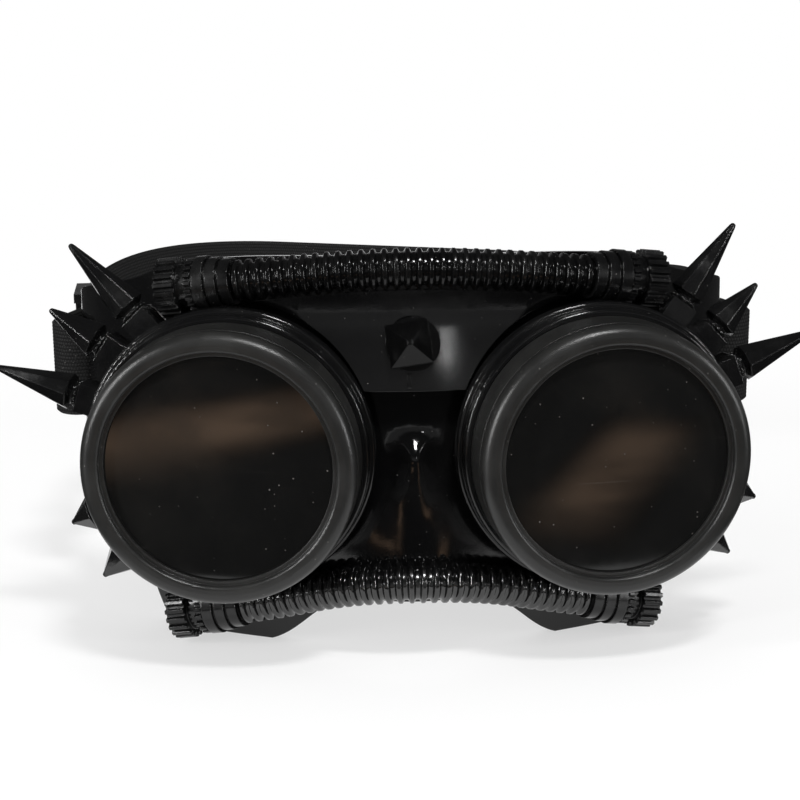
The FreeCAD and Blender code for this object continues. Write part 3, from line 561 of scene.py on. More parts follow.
# Colour and roughness of each moulded finish, polished first and then dulled, and what else differs
MOULDED_FINISHES = {
    "mask_gloss": {
        "colours": ((0.0035, 0.0035, 0.0037), (0.006, 0.006, 0.006)),
        "roughness": (0.08, 0.17),
    },
    "stud_gloss": {
        "colours": ((0.003, 0.003, 0.0031), (0.005, 0.005, 0.005)),
        "roughness": (0.08, 0.18),
        "smudge_scale": 130.0,
        "wave_scale": 240.0,
        "specular": 0.2,
    },
    "cup_gloss": {
        "colours": ((0.004, 0.004, 0.0042), (0.007, 0.007, 0.007)),
        "roughness": (0.11, 0.24),
        "smudge_scale": 70.0,
        "wave_scale": 160.0,
    },
    "spike_gloss": {
        "colours": ((0.004, 0.004, 0.0042), (0.007, 0.007, 0.007)),
        "roughness": (0.12, 0.26),
        "smudge_scale": 120.0,
        "wave_scale": 260.0,
        "dust_amount": 0.02,
        "edge_round": 0.5 * MM,
    },
    "top_hose_gloss": {**HOSE_VALUES, "roughness": (0.12, 0.28), "specular": 0.34},
    "bottom_hose_gloss": {**HOSE_VALUES, "roughness": (0.1, 0.28), "specular": 0.9},
    "fitting_gloss": {
        "colours": ((0.004, 0.004, 0.0042), (0.008, 0.008, 0.008)),
        "roughness": (0.16, 0.32),
        "smudge_scale": 110.0,
        "wave_scale": 280.0,
    },
    "slider_gloss": {
        "colours": ((0.005, 0.005, 0.005), (0.009, 0.009, 0.009)),
        "roughness": (0.2, 0.36),
        "smudge_scale": 140.0,
        "wave_scale": 320.0,
    },
    "ring_satin": {
        "colours": ((0.014, 0.014, 0.0135), (0.02, 0.02, 0.0191)),
        "roughness": (0.3, 0.42),
        "smudge_scale": 60.0,
        "wave_scale": 420.0,
        "grain_scale": 3800.0,
        "grain_share": 0.9,
        "bump_strength": 0.16,
        "bump_distance": 0.25 * MM,
        "speck_scale": 1100.0,
        "dust_amount": 0.06,
    },
}

# Lenses
LENS_SMUDGE_SCALE = 28.0
LENS_POLISHED = 0.05
LENS_DULLED = 0.14
LENS_SPECK_SCALE = 1000.0
LENS_DUST_AMOUNT = 0.06
LENS_COLOUR = (0.0055, 0.0055, 0.0054)
LENS_FILM_COLOUR = (0.009, 0.0088, 0.0083)
LENS_MARK_COLOUR = (0.16, 0.15, 0.14)
SCRATCH_TURN = math.radians(35.0)
SCRATCH_SCALE = (26.0, 26.0, 700.0)
SCRATCH_DETAIL = 1.0
SCRATCH_ROUGHNESS = 0.4
SCRATCH_LOW = 0.72
SCRATCH_HIGH = 0.78
SCRATCH_SHARE = 0.06

# Strap and its thread
FUZZ_SCALE = 4200.0
FUZZ_DETAIL = 3.0
FUZZ_ROUGHNESS = 0.7
FUZZ_SHARE = 0.35
# Painted shade of the weave: heights and colours that run from the shaded hollows to the lit thread tops
WEAVE_PAINTED_SHADE_LOW = 0.15
WEAVE_PAINTED_SHADE_HIGH = 1.1
WEAVE_SHADED_HOLLOW_COLOUR = (0.004, 0.004, 0.0041)
WEAVE_LIT_TOP_COLOUR = (0.0125, 0.0125, 0.0123)
WEAVE_DULL_LOW = 0.1
WEAVE_DULL_HIGH = 1.2
WEAVE_ROUGHNESS = (0.92, 0.62)
WEAVE_SPECK_SCALE = 1500.0
WEAVE_DUST_AMOUNT = 0.05
WEAVE_BUMP_STRENGTH = 0.5
WEAVE_BUMP_DISTANCE = 0.15 * MM
WEAVE_SPECULAR = 0.3
THREAD_SCALE = 3000.0
THREAD_DETAIL = 3.0
THREAD_NOISE_ROUGHNESS = 0.6
THREAD_DARK = (0.006, 0.006, 0.006)
THREAD_LIGHT = (0.03, 0.03, 0.03)
THREAD_DULL_LOW = 0.3
THREAD_DULL_HIGH = 0.8
THREAD_ROUGHNESS = (0.5, 0.8)
THREAD_BUMP_STRENGTH = 0.4
THREAD_BUMP_DISTANCE = 0.1 * MM


# Shader groups shared by the finishes
def moulded_grain_group():
    # Slow waviness of a moulded skin under a fine grain
    group, given, result = shader_group("moulded_grain", [
        ("Wave Scale", "NodeSocketFloat", GLOSS_VALUES["wave_scale"]),
        ("Grain Scale", "NodeSocketFloat", GLOSS_VALUES["grain_scale"]),
        ("Grain Share", "NodeSocketFloat", GLOSS_VALUES["grain_share"]),
    ], [("Height", "NodeSocketFloat")])
    wave = noise(group, given.outputs["Vector"], given.outputs["Wave Scale"], GRAIN_DETAIL)
    grain = noise(group, given.outputs["Vector"], given.outputs["Grain Scale"], GRAIN_DETAIL)
    fine = tree_math(group, "MULTIPLY", grain, given.outputs["Grain Share"])
    group.links.new(tree_math(group, "ADD", wave, fine), result.inputs["Height"])
    return group


def dust_group():
    # Pale round specks of dust, kept in loose patches
    group, given, result = shader_group("dust_specks", [
        ("Speck Scale", "NodeSocketFloat", GLOSS_VALUES["speck_scale"]),
        ("Amount", "NodeSocketFloat", GLOSS_VALUES["dust_amount"]),
    ], [("Mask", "NodeSocketFloat")])
    cells = add_node(group, "ShaderNodeTexVoronoi", {
        "Vector": given.outputs["Vector"],
        "Scale": given.outputs["Speck Scale"],
    })
    speck = ramp(group, cells.outputs["Distance"], SPECK_CORE, SPECK_EDGE, 1.0, 0.0)
    chosen = add_node(group, "ShaderNodeSeparateColor", {"Color": cells.outputs["Color"]})
    kept = tree_math(group, "LESS_THAN", chosen.outputs[0], given.outputs["Amount"])
    cloud = noise(group, given.outputs["Vector"], DUST_PATCH_SCALE)
    patch = ramp(group, cloud, DUST_PATCH_LOW, DUST_PATCH_HIGH)
    mask = tree_math(group, "MULTIPLY", tree_math(group, "MULTIPLY", speck, kept), patch)
    group.links.new(mask, result.inputs["Mask"])
    return group


def handling_group():
    # Smudged gloss: patches where handling has dulled the surface
    polished, dulled = MOULDED_FINISHES["mask_gloss"]["roughness"]
    group, given, result = shader_group("handled_gloss", [
        ("Smudge Scale", "NodeSocketFloat", GLOSS_VALUES["smudge_scale"]),
        ("Polished", "NodeSocketFloat", polished),
        ("Dulled", "NodeSocketFloat", dulled),
    ], [("Roughness", "NodeSocketFloat"), ("Smudge", "NodeSocketFloat")])
    scale = given.outputs["Smudge Scale"]
    cloud = noise(group, given.outputs["Vector"], scale, SMUDGE_DETAIL, SMUDGE_ROUGHNESS)
    smudge = ramp(group, cloud, SMUDGE_LOW, SMUDGE_HIGH)
    mix = add_node(group, "ShaderNodeMix", {
        "Factor": smudge,
        2: given.outputs["Polished"],
        3: given.outputs["Dulled"],
    }, data_type="FLOAT")
    group.links.new(mix.outputs[0], result.inputs["Roughness"])
    group.links.new(smudge, result.inputs["Smudge"])
    return group


MOULDED_GRAIN = moulded_grain_group()
DUST = dust_group()
HANDLING = handling_group()


# Finishes
def new_finish(name):
    material = bpy.data.materials.new(name)
    material.use_nodes = True
    tree = material.node_tree
    shader = tree.nodes["Principled BSDF"]
    coordinates = tree.nodes.new("ShaderNodeTexCoord")
    return material, tree, shader, coordinates.outputs["Object"]


def place_group(tree, group, vector, values):
    return add_node(tree, "ShaderNodeGroup", {"Vector": vector, **values}, node_tree=group)


def mix_colour(tree, factor, first, second):
    inputs = {"Factor": factor}
    for index, value in ((6, first), (7, second)):
        inputs[index] = (*value, 1.0) if isinstance(value, tuple) else value
    return add_node(tree, "ShaderNodeMix", inputs, data_type="RGBA").outputs[2]


def bump(tree, shader, height, strength, distance, edge_round=0.0):
    inputs = {"Height": height, "Strength": strength, "Distance": distance}
    if edge_round > 0.0:
        # Moulded edges are slightly round and catch the light
        edge = add_node(tree, "ShaderNodeBevel", {"Radius": edge_round}, samples=EDGE_SAMPLES)
        inputs["Normal"] = edge.outputs["Normal"]
    node = add_node(tree, "ShaderNodeBump", inputs)
    tree.links.new(node.outputs["Normal"], shader.inputs["Normal"])


def moulded_finish(name):
    # Moulded plastic: a base colour that dulls where it is handled, with grain and dust
    values = {**GLOSS_VALUES, **MOULDED_FINISHES[name]}
    colour, dull_colour = values["colours"]
    polished, dulled = values["roughness"]
    material, tree, shader, vector = new_finish(name)
    handled = place_group(tree, HANDLING, vector, {
        "Smudge Scale": values["smudge_scale"],
        "Polished": polished,
        "Dulled": dulled,
    })
    dust = place_group(tree, DUST, vector, {
        "Speck Scale": values["speck_scale"],
        "Amount": values["dust_amount"],
    })
    grain = place_group(tree, MOULDED_GRAIN, vector, {
        "Wave Scale": values["wave_scale"],
        "Grain Scale": values["grain_scale"],
        "Grain Share": values["grain_share"],
    })
    body = mix_colour(tree, handled.outputs["Smudge"], colour, dull_colour)
    tree.links.new(mix_colour(tree, dust.outputs["Mask"], body, DUST_COLOUR), shader.inputs["Base Color"])
    dusty = tree_math(tree, "MULTIPLY", dust.outputs["Mask"], DUST_ROUGHNESS)
    tree.links.new(tree_math(tree, "ADD", handled.outputs["Roughness"], dusty), shader.inputs["Roughness"])
    bump(
        tree, shader, grain.outputs["Height"],
        values["bump_strength"], values["bump_distance"], values["edge_round"],
    )
    shader.inputs["Specular IOR Level"].default_value = values["specular"]
    return material


def lens_tint():
    # Dark polished sheet with dust, a few hairline scratches and a faint wiped film
    material, tree, shader, vector = new_finish("lens_tint")
    handled = place_group(tree, HANDLING, vector, {
        "Smudge Scale": LENS_SMUDGE_SCALE,
        "Polished": LENS_POLISHED,
        "Dulled": LENS_DULLED,
    })
    dust = place_group(tree, DUST, vector, {"Speck Scale": LENS_SPECK_SCALE, "Amount": LENS_DUST_AMOUNT})
    turned = add_node(tree, "ShaderNodeMapping", {
        "Vector": vector,
        "Rotation": (0.0, SCRATCH_TURN, 0.0),
        "Scale": SCRATCH_SCALE,
    })
    streaks = noise(tree, turned.outputs["Vector"], 1.0, SCRATCH_DETAIL, SCRATCH_ROUGHNESS)
    scratch = ramp(tree, streaks, SCRATCH_LOW, SCRATCH_HIGH)
    faint = tree_math(tree, "MULTIPLY", scratch, SCRATCH_SHARE)
    marks = tree_math(tree, "MAXIMUM", dust.outputs["Mask"], faint)
    body = mix_colour(tree, handled.outputs["Smudge"], LENS_COLOUR, LENS_FILM_COLOUR)
    tree.links.new(mix_colour(tree, marks, body, LENS_MARK_COLOUR), shader.inputs["Base Color"])
    dusty = tree_math(tree, "MULTIPLY", marks, DUST_ROUGHNESS)
    tree.links.new(tree_math(tree, "ADD", handled.outputs["Roughness"], dusty), shader.inputs["Roughness"])
    return material


def thread_wave(tree, count):
    # One round hump for each thread that is counted
    half_turn = tree_math(tree, "MULTIPLY", tree_math(tree, "FRACT", count), math.pi)
    return tree_math(tree, "ABSOLUTE", tree_math(tree, "SINE", half_turn))


def strap_weave():
    # Woven elastic: lengthwise cords crossed by short picks, from the strap's own lengths, with painted
    # shade that darkens the hollows of the weave and lightens its tops
    material, tree, shader, vector = new_finish("strap_weave")
    lengths = add_node(tree, "ShaderNodeUVMap", uv_map="strap_lengths")
    split = add_node(tree, "ShaderNodeSeparateXYZ", {"Vector": lengths.outputs["UV"]})
    cord = tree_math(tree, "MULTIPLY", split.outputs["Y"], STRAP_RIBS / STRAP_WIDTH)
    odd_cord = tree_math(tree, "MODULO", tree_math(tree, "FLOOR", cord), 2.0)
    half_pick = tree_math(tree, "MULTIPLY", odd_cord, 0.5)
    pick = tree_math(tree, "ADD", tree_math(tree, "DIVIDE", split.outputs["X"], STRAP_PICK), half_pick)
    weave = tree_math(tree, "MULTIPLY", thread_wave(tree, pick), thread_wave(tree, cord))
    fuzz = noise(tree, vector, FUZZ_SCALE, FUZZ_DETAIL, FUZZ_ROUGHNESS)
    height = tree_math(tree, "ADD", weave, tree_math(tree, "MULTIPLY", fuzz, FUZZ_SHARE))
    # Painted shade: the colour is darker in the hollows between cords, picks and fuzz and lighter on their
    # raised tops
    painted_relief_shade = ramp(tree, height, WEAVE_PAINTED_SHADE_LOW, WEAVE_PAINTED_SHADE_HIGH)
    tone = mix_colour(tree, painted_relief_shade, WEAVE_SHADED_HOLLOW_COLOUR, WEAVE_LIT_TOP_COLOUR)
    dust = place_group(tree, DUST, vector, {"Speck Scale": WEAVE_SPECK_SCALE, "Amount": WEAVE_DUST_AMOUNT})
    tree.links.new(mix_colour(tree, dust.outputs["Mask"], tone, DUST_COLOUR), shader.inputs["Base Color"])
    dull = ramp(tree, height, WEAVE_DULL_LOW, WEAVE_DULL_HIGH, *WEAVE_ROUGHNESS)
    tree.links.new(dull, shader.inputs["Roughness"])
    bump(tree, shader, height, WEAVE_BUMP_STRENGTH, WEAVE_BUMP_DISTANCE)
    shader.inputs["Specular IOR Level"].default_value = WEAVE_SPECULAR
    return material


def stitch_thread():
    material, tree, shader, vector = new_finish("stitch_thread")
    twist = noise(tree, vector, THREAD_SCALE, THREAD_DETAIL, THREAD_NOISE_ROUGHNESS)
    tone = mix_colour(tree, twist, THREAD_DARK, THREAD_LIGHT)
    tree.links.new(tone, shader.inputs["Base Color"])
    dull = ramp(tree, twist, THREAD_DULL_LOW, THREAD_DULL_HIGH, *THREAD_ROUGHNESS)
    tree.links.new(dull, shader.inputs["Roughness"])
    bump(tree, shader, twist, THREAD_BUMP_STRENGTH, THREAD_BUMP_DISTANCE)
    return material


FINISHES = {name: moulded_finish(name) for name in MOULDED_FINISHES}
FINISHES["lens_tint"] = lens_tint()
FINISHES["strap_weave"] = strap_weave()
FINISHES["stitch_thread"] = stitch_thread()

FINISH_OF_ENDING = {
    "shell": "mask_gloss",
    "plate": "mask_gloss",
    "stud": "stud_gloss",
    "eye_cup": "cup_gloss",
    "bezel": "ring_satin",
    "lens": "lens_tint",
    "spike": "spike_gloss",
    "ferrule": "fitting_gloss",
    "gear_cap": "fitting_gloss",
    "slider": "slider_gloss",
    "top_hose": "top_hose_gloss",
    "bottom_hose": "bottom_hose_gloss",
    "strap": "strap_weave",
}


def finish_of_node(name):
    for ending, finish in FINISH_OF_ENDING.items():
        if name.endswith(ending):
            return FINISHES[finish]
    raise ValueError("no finish for " + name)


def dress_cad_nodes():
    for name, node in nodes.items():
        node.data.materials.clear()
        node.data.materials.append(finish_of_node(name))


# Soft and repeated pieces
def make_hoses():
    tree = ribbed_hose_tree()
    for edge in ("top", "bottom"):
        finish = FINISHES[edge + "_hose_gloss"]
        count = HOSE_RIBS[edge]
        rib_length = count * RIB_PITCH
        samples = round(RIB_SAMPLES * (rib_length + 2.0 * HOSE_TAIL) / RIB_PITCH)
        mesh = run_tree(line_object(edge + "_hose_line", hose_line(edge)), tree, {
            "Rib Count": count,
            "Samples Along": samples,
            "Finish": finish,
        })
        hose = mesh_piece(edge + "_ribbed_hose", mesh, finish, "mask")
        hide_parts(edge + "_hose")


def strap_section():
    # Outline of the woven strap across its width, with one low cord per rib on both faces
    outline = []
    half_height = STRAP_WIDTH / 2.0
    half_thick = STRAP_THICKNESS / 2.0
    steps = STRAP_RIBS * STRAP_RIB_STEPS
    for face in (1.0, -1.0):
        for index in range(steps + 1):
            share = index / steps
            height = face * (half_height - STRAP_WIDTH * share)
            cord = abs(math.sin(math.pi * share * STRAP_RIBS))
            from_edge = min(share, 1.0 - share) * STRAP_WIDTH
            pinch = 1.0 - STRAP_EDGE_PINCH * (1.0 - smooth_step(from_edge / STRAP_EDGE_ROUND))
            across = face * (half_thick - STRAP_RIB_HEIGHT * (1.0 - cord)) * pinch
            outline.append((across, height))
    return outline


def make_strap():
    points = strap_path()
    section = strap_section()
    count = len(section)
    mesh = bmesh.new()
    uv_layer = mesh.loops.layers.uv.new("strap_lengths")
    rings = []
    lengths = [0.0]
    for before, after in zip(points, points[1:]):
        lengths.append(lengths[-1] + (after - before).length)
    for index, point in enumerate(points):
        ahead = points[min(index + 1, len(points) - 1)]
        behind = points[max(index - 1, 0)]
        way = (ahead - behind).normalized()
        outward = way.cross(Vector((0.0, 0.0, 1.0)))
        ring = [mesh.verts.new(strap_space(point + outward * across, height)) for across, height in section]
        rings.append(ring)
    for index in range(len(rings) - 1):
        for corner in range(count):
            following = (corner + 1) % count
            face = mesh.faces.new((
                rings[index][corner],
                rings[index][following],
                rings[index + 1][following],
                rings[index + 1][corner],
            ))
            face.smooth = True
            places = ((index, corner), (index, following), (index + 1, following), (index + 1, corner))
            for loop, (ring_index, section_index) in zip(face.loops, places):
                height = section[section_index][1] + STRAP_WIDTH / 2.0
                loop[uv_layer].uv = (lengths[ring_index], height)
    for ring in (rings[0], rings[-1]):
        mesh.faces.new(ring)
    bmesh.ops.recalc_face_normals(mesh, faces=mesh.faces)
    data = bpy.data.meshes.new("strap_webbing_mesh")
    mesh.to_mesh(data)
    mesh.free()
    strap = mesh_piece("strap_webbing", data, FINISHES["strap_weave"], "mask")
    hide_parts("head_strap")


def make_stitches():
    # Two rows through both layers of the sewn end, seen on its two faces
    layer = (STRAP_THICKNESS + STRAP_LAYER_GAP) / 2.0
    proud = layer + STRAP_THICKNESS / 2.0
    spots = []
    for along in STITCH_ROWS:
        for across in (-proud, proud):
            flat = strap_point(SIDES["right"], along, across)
            for index in range(STITCHES_IN_ROW):
                height = STITCH_ROW_LENGTH * (index / (STITCHES_IN_ROW - 1) - 0.5)
                spots.append(strap_space(flat, height))
    finish = FINISHES["stitch_thread"]
    mesh = run_tree(points_object("stitch_spots", spots), stitch_tree(), {"Finish": finish})
    mesh_piece("strap_stitches", mesh, finish, "mask")


def spike_points(name):
    corners = {tuple(round(value, 6) for value in vertex.co) for vertex in nodes[name].data.vertices}
    return [Vector(corner) for corner in corners]


def spike_line(name, side):
    # The end of the pin and the direction to the tip, from the spike's own mesh
    points = spike_points(name)
    eye = EYE_CENTRES[side]
    axis = EYE_AXES[side]

    def from_axis(point):
        offset = point - eye
        return (offset - axis * offset.dot(axis)).length

    def apart(pair):
        return (pair[0] - pair[1]).length_squared

    ends = max(((first, second) for first in points for second in points), key=apart)
    other, tip = sorted(ends, key=from_axis)
    near_tip = [point for point in points if (point - tip).length < SPIKE_TIP_ZONE]
    tip_middle = sum(near_tip, Vector()) / len(near_tip)
    way = (tip - other).normalized()
    for _ in range(SPIKE_LINE_ROUNDS):
        reach = [(point - tip_middle).dot(way) for point in points]
        end = min(reach)
        pin = [point for point, value in zip(points, reach) if value < end + SPIKE_PIN_ZONE]
        pin_middle = sum(pin, Vector()) / len(pin)
        way = (tip_middle - pin_middle).normalized()
    return pin_middle, way


def make_bead_collars():
    tree = bead_tree()
    finish = FINISHES["spike_gloss"]
    for side in SIDES:
        spots = []
        for place in SPIKE_NAMES:
            pin_end, way = spike_line(side + "_" + place + "_spike", side)
            centre = pin_end + way * (SPIKE_PIN_LENGTH + SPIKE_NECK_LENGTH / 2.0)
            across = way.orthogonal().normalized()
            over = way.cross(across)
            for index in range(BEADS_IN_COLLAR):
                angle = 2.0 * math.pi * index / BEADS_IN_COLLAR
                around = across * math.cos(angle) + over * math.sin(angle)
                spots.append(centre + around * SPIKE_NECK_RADIUS)
        mesh = run_tree(points_object(side + "_bead_spots", spots), tree, {"Finish": finish})
        mesh_piece(side + "_spike_beads", mesh, finish, "mask")


# Studio values in metres, with glows in linear light
WHITE = (1.0, 1.0, 1.0)
FLOOR_REACH = 12.0
FLOOR_COLOUR = (0.42, 0.42, 0.42)
FLOOR_LIFT = 0.56
FLOOR_SHADOW_END = 0.14
FLOOR_WHITE_START = 0.34
WORLD_LIGHT = 0.45
TENT_RADIUS = 2.4
TENT_LOWEST = math.radians(2.0)
TENT_ROWS = 8
TENT_COLUMNS = 32
TENT_GLOW_LOW = 0.24
TENT_GLOW_HIGH = 0.035
TENT_LOW_END = 0.5
TENT_HIGH_START = 1.1
CARD_GLOW = 0.03
CARD_LIFT = 0.001
CARD_FRONT = -0.14
CARD_BACK = 6.0
CARD_INNER = 0.085
CARD_SPREAD = 0.215
WARM_COLOUR = (1.0, 0.66, 0.44)
WARM_LIFT = 0.002
WARM_REACH = 0.075
WARM_SOLID_ALONG = 0.5
WARM_SOLID_ACROSS = 0.15
WARM_PATCH_SCALE = 26.0
WARM_PATCH_LOW = 0.3
WARM_PATCH_HIGH = 0.62
WARM_PATCH_FAINTEST = 0.4
WARM_CARDS = {
    "left": {"centre": (-0.108, -0.288), "end": (-0.072, -0.336), "half_width": 0.038, "glow": 1.5},
    "right": {"centre": (0.104, -0.219), "end": (0.139, -0.268), "half_width": 0.018, "glow": 1.05},
}
LAMP_AIM = Vector((0.0, -0.06, 0.05))
LAMPS = {
    "ceiling_lamp": {"place": (0.12, -0.55, 0.9), "size": (0.18, 0.12), "power": 5.2},
    "window": {"place": (0.165, -0.85, 0.325), "size": (0.024, 0.012), "power": 0.07},
    "overhead_box": {"place": (-0.15, -0.05, 1.25), "size": (0.9, 0.6), "power": 0.6},
    "left_strip": {"place": (-0.96, -0.52, 0.34), "size": (0.06, 0.6), "power": 7.0},
    "right_strip": {"place": (0.92, -0.48, 0.22), "size": (0.05, 0.42), "power": 2.6},
    "back_strip": {"place": (0.1, 1.1, 0.7), "size": (0.9, 0.15), "power": 2.0},
}
FILL_LAMPS = ("overhead_box", "back_strip")


# Studio
def glow_shader(tree, strength, colour=WHITE):
    inputs = {"Color": (*colour, 1.0), "Strength": strength}
    return add_node(tree, "ShaderNodeEmission", inputs).outputs["Emission"]


def stage_finish(name):
    # An empty material with its output
    material = bpy.data.materials.new(name)
    material.use_nodes = True
    tree = material.node_tree
    tree.nodes.clear()
    return material, tree, tree.nodes.new("ShaderNodeOutputMaterial").inputs["Surface"]


def mix_shaders(tree, factor, first, second):
    return add_node(tree, "ShaderNodeMixShader", {"Fac": factor, 1: first, 2: second}).outputs["Shader"]


def seen_ray(tree):
    # One for the camera's rays and for those that the gloss and the clear pieces send on
    path = tree.nodes.new("ShaderNodeLightPath")
    seen = tree_math(tree, "MAXIMUM", path.outputs["Is Camera Ray"], path.outputs["Is Glossy Ray"])
    return tree_math(tree, "MAXIMUM", seen, path.outputs["Is Transmission Ray"])


def floor_finish():
    # Pale floor that keeps the soft shadow near the object and fades to plain white away from it
    material, tree, surface = stage_finish("pale_floor")
    paper = add_node(tree, "ShaderNodeBsdfDiffuse", {"Color": (*FLOOR_COLOUR, 1.0)}).outputs["BSDF"]
    near = add_node(tree, "ShaderNodeAddShader", {0: paper, 1: glow_shader(tree, FLOOR_LIFT)})
    place = tree.nodes.new("ShaderNodeTexCoord").outputs["Object"]
    distance = add_node(tree, "ShaderNodeVectorMath", {0: place}, operation="LENGTH")
    far = ramp(tree, distance.outputs["Value"], FLOOR_SHADOW_END, FLOOR_WHITE_START)
    shown = mix_shaders(tree, far, near.outputs["Shader"], glow_shader(tree, 1.0))
    tree.links.new(mix_shaders(tree, seen_ray(tree), paper, shown), surface)
    return material


def stage_mesh(name, vertices, faces, material):
    mesh = bpy.data.meshes.new(name)
    mesh.from_pydata(vertices, [], faces)
    mesh.materials.append(material)
    piece = linked_object(name, mesh)
    return piece


def stage_card(name, corners, height, material):
    vertices = [(x, y, height) for x, y in corners]
    return stage_mesh(name, vertices, [(0, 1, 2, 3)], material)


def only_in_reflections(piece):
    piece.visible_camera = False
    piece.visible_diffuse = False
    piece.visible_shadow = False
    piece.visible_transmission = False
    piece.visible_volume_scatter = False


def make_floor():
    reach = FLOOR_REACH
    corners = [(-reach, -reach), (reach, -reach), (reach, reach), (-reach, reach)]
    stage_card("floor", corners, 0.0, floor_finish())


def make_cards():
    # Dark cards on the floor outside the picture, seen in the gloss only
    dark, tree, surface = stage_finish("dark_card")
    tree.links.new(glow_shader(tree, CARD_GLOW), surface)
    reach = FLOOR_REACH
    wide = CARD_INNER + CARD_SPREAD * (CARD_BACK - CARD_FRONT)
    cards = {"front": [(-reach, -reach), (reach, -reach), (reach, CARD_FRONT), (-reach, CARD_FRONT)]}
    for side, sign in SIDES.items():
        cards[side] = [
            (sign * CARD_INNER, CARD_FRONT),
            (sign * reach, CARD_FRONT),
            (sign * reach, CARD_BACK),
            (sign * wide, CARD_BACK),
        ]
    for name, corners in cards.items():
        only_in_reflections(stage_card(name + "_card", corners, CARD_LIFT, dark))


def warm_finish(name, centre, along, half_width, strength):
    # A soft warm band that fades out to the card around it
    material, tree, surface = stage_finish(name)
    place = tree.nodes.new("ShaderNodeTexCoord").outputs["Object"]
    offset = add_node(tree, "ShaderNodeVectorMath", {0: place, 1: (*centre, 0.0)}, operation="SUBTRACT")
    across = (-along[1], along[0])
    band = noise(tree, place, WARM_PATCH_SCALE)
    band = ramp(tree, band, WARM_PATCH_LOW, WARM_PATCH_HIGH, WARM_PATCH_FAINTEST, 1.0)
    for way, reach, solid in (
        (along, WARM_REACH, WARM_SOLID_ALONG),
        (across, half_width, WARM_SOLID_ACROSS),
    ):
        measure = add_node(tree, "ShaderNodeVectorMath", {
            0: offset.outputs["Vector"],
            1: (*way, 0.0),
        }, operation="DOT_PRODUCT")
        distance = tree_math(tree, "ABSOLUTE", measure.outputs["Value"])
        fade = ramp(tree, distance, solid * reach, reach, 1.0, 0.0)
        band = tree_math(tree, "MULTIPLY", band, fade)
    glow = tree_math(tree, "ADD", tree_math(tree, "MULTIPLY", band, strength), CARD_GLOW)
    tree.links.new(glow_shader(tree, glow, WARM_COLOUR), surface)
    return material


def make_warm_cards():
    # Two warm cards on the floor outside the picture, which the dark lenses reflect
    for side, values in WARM_CARDS.items():
        centre = Vector(values["centre"])
        along = (Vector(values["end"]) - centre).normalized()
        across = Vector((-along.y, along.x)) * values["half_width"]
        along_reach = along * WARM_REACH
        name = side + "_warm_card"
        corners = []
        for first, second in ((-1.0, -1.0), (1.0, -1.0), (1.0, 1.0), (-1.0, 1.0)):
            corners.append(tuple(centre + along_reach * first + across * second))
        finish = warm_finish(name, tuple(centre), tuple(along), values["half_width"], values["glow"])
        only_in_reflections(stage_card(name, corners, WARM_LIFT, finish))


def tent_finish():
    # Grey cloth, lighter low down and darker above
    material, tree, surface = stage_finish("tent_cloth")
    place = tree.nodes.new("ShaderNodeTexCoord").outputs["Object"]
    height = add_node(tree, "ShaderNodeSeparateXYZ", {"Vector": place}).outputs["Z"]
    glow = ramp(tree, height, TENT_LOW_END, TENT_HIGH_START, TENT_GLOW_LOW, TENT_GLOW_HIGH)
    tree.links.new(glow_shader(tree, glow), surface)
    return material


def make_tent():
    # A dome over the stage, seen in the gloss only
    vertices = []
    faces = []
    for row in range(TENT_ROWS + 1):
        elevation = TENT_LOWEST + (math.pi / 2.0 - TENT_LOWEST) * row / TENT_ROWS
        for column in range(TENT_COLUMNS):
            azimuth = 2.0 * math.pi * column / TENT_COLUMNS
            vertices.append((
                TENT_RADIUS * math.cos(elevation) * math.cos(azimuth),
                TENT_RADIUS * math.cos(elevation) * math.sin(azimuth),
                TENT_RADIUS * math.sin(elevation),
            ))
    for row in range(TENT_ROWS):
        for column in range(TENT_COLUMNS):
            following = (column + 1) % TENT_COLUMNS
            low = row * TENT_COLUMNS
            high = low + TENT_COLUMNS
            faces.append((low + column, low + following, high + following, high + column))
    only_in_reflections(stage_mesh("tent", vertices, faces, tent_finish()))


def background(tree, strength):
    inputs = {"Color": (*WHITE, 1.0), "Strength": strength}
    return add_node(tree, "ShaderNodeBackground", inputs).outputs["Background"]


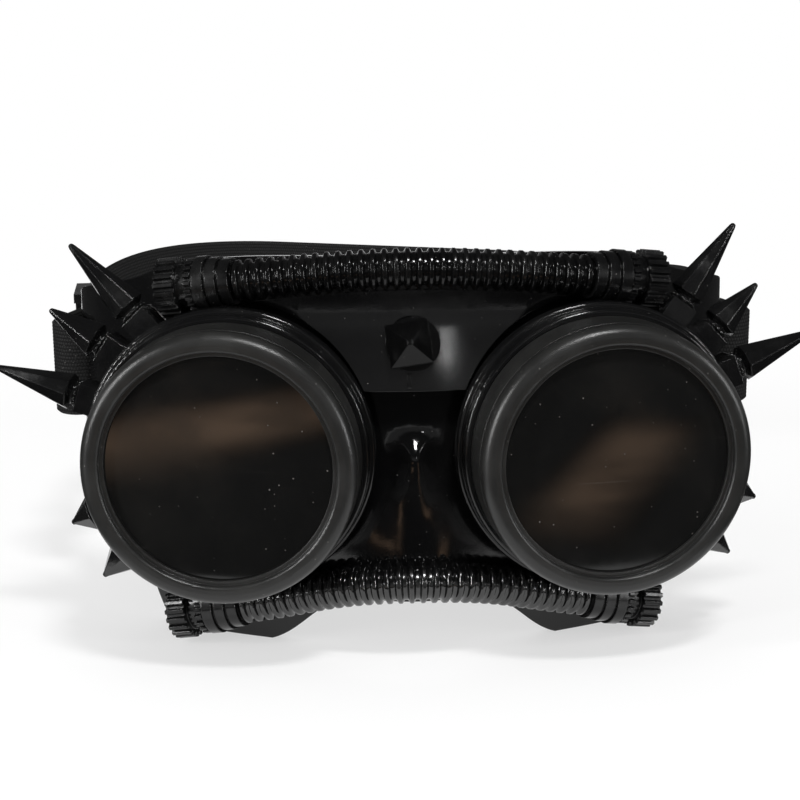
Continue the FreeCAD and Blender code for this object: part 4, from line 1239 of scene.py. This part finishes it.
def make_world():
    # White to every ray that is seen, and a softer light on the object
    world = bpy.data.worlds.new("studio")
    bpy.context.scene.world = world
    world.use_nodes = True
    tree = world.node_tree
    tree.nodes.clear()
    surface = mix_shaders(tree, seen_ray(tree), background(tree, WORLD_LIGHT), background(tree, 1.0))
    output = tree.nodes.new("ShaderNodeOutputWorld")
    tree.links.new(surface, output.inputs["Surface"])


def make_lamps():
    for name, values in LAMPS.items():
        lamp = bpy.data.lights.new(name, "AREA")
        lamp.shape = "RECTANGLE"
        lamp.size, lamp.size_y = values["size"]
        lamp.energy = values["power"]
        holder = linked_object(name, lamp)
        place = Vector(values["place"])
        holder.location = place
        holder.rotation_euler = (LAMP_AIM - place).to_track_quat("-Z", "Y").to_euler()
        holder.visible_glossy = name not in FILL_LAMPS


def make_camera():
    back = Vector((
        math.sin(CAMERA_AZIMUTH) * math.cos(CAMERA_ELEVATION),
        -math.cos(CAMERA_AZIMUTH) * math.cos(CAMERA_ELEVATION),
        math.sin(CAMERA_ELEVATION),
    ))
    level = Vector((math.cos(CAMERA_AZIMUTH), math.sin(CAMERA_AZIMUTH), 0.0))
    upright = back.cross(level)
    right = level * math.cos(CAMERA_ROLL) + upright * math.sin(CAMERA_ROLL)
    upward = upright * math.cos(CAMERA_ROLL) - level * math.sin(CAMERA_ROLL)
    lens = bpy.data.cameras.new("photo_camera")
    lens.sensor_fit = "HORIZONTAL"
    lens.sensor_width = SENSOR_WIDTH
    lens.lens = CAMERA_FOCAL_PIXELS / IMAGE_PIXELS * SENSOR_WIDTH
    lens.clip_start = CAMERA_CLIP_START
    holder = linked_object("photo_camera", lens)
    turn = Matrix((right, upward, back)).transposed()
    holder.matrix_world = Matrix.Translation(CAMERA_TARGET + back * CAMERA_DISTANCE) @ turn.to_4x4()
    bpy.context.scene.camera = holder


bpy.context.scene.view_settings.view_transform = "Standard"
dress_cad_nodes()
make_hoses()
make_strap()
make_stitches()
make_bead_collars()
make_floor()
make_cards()
make_warm_cards()
make_tent()
make_world()
make_lamps()
make_camera()
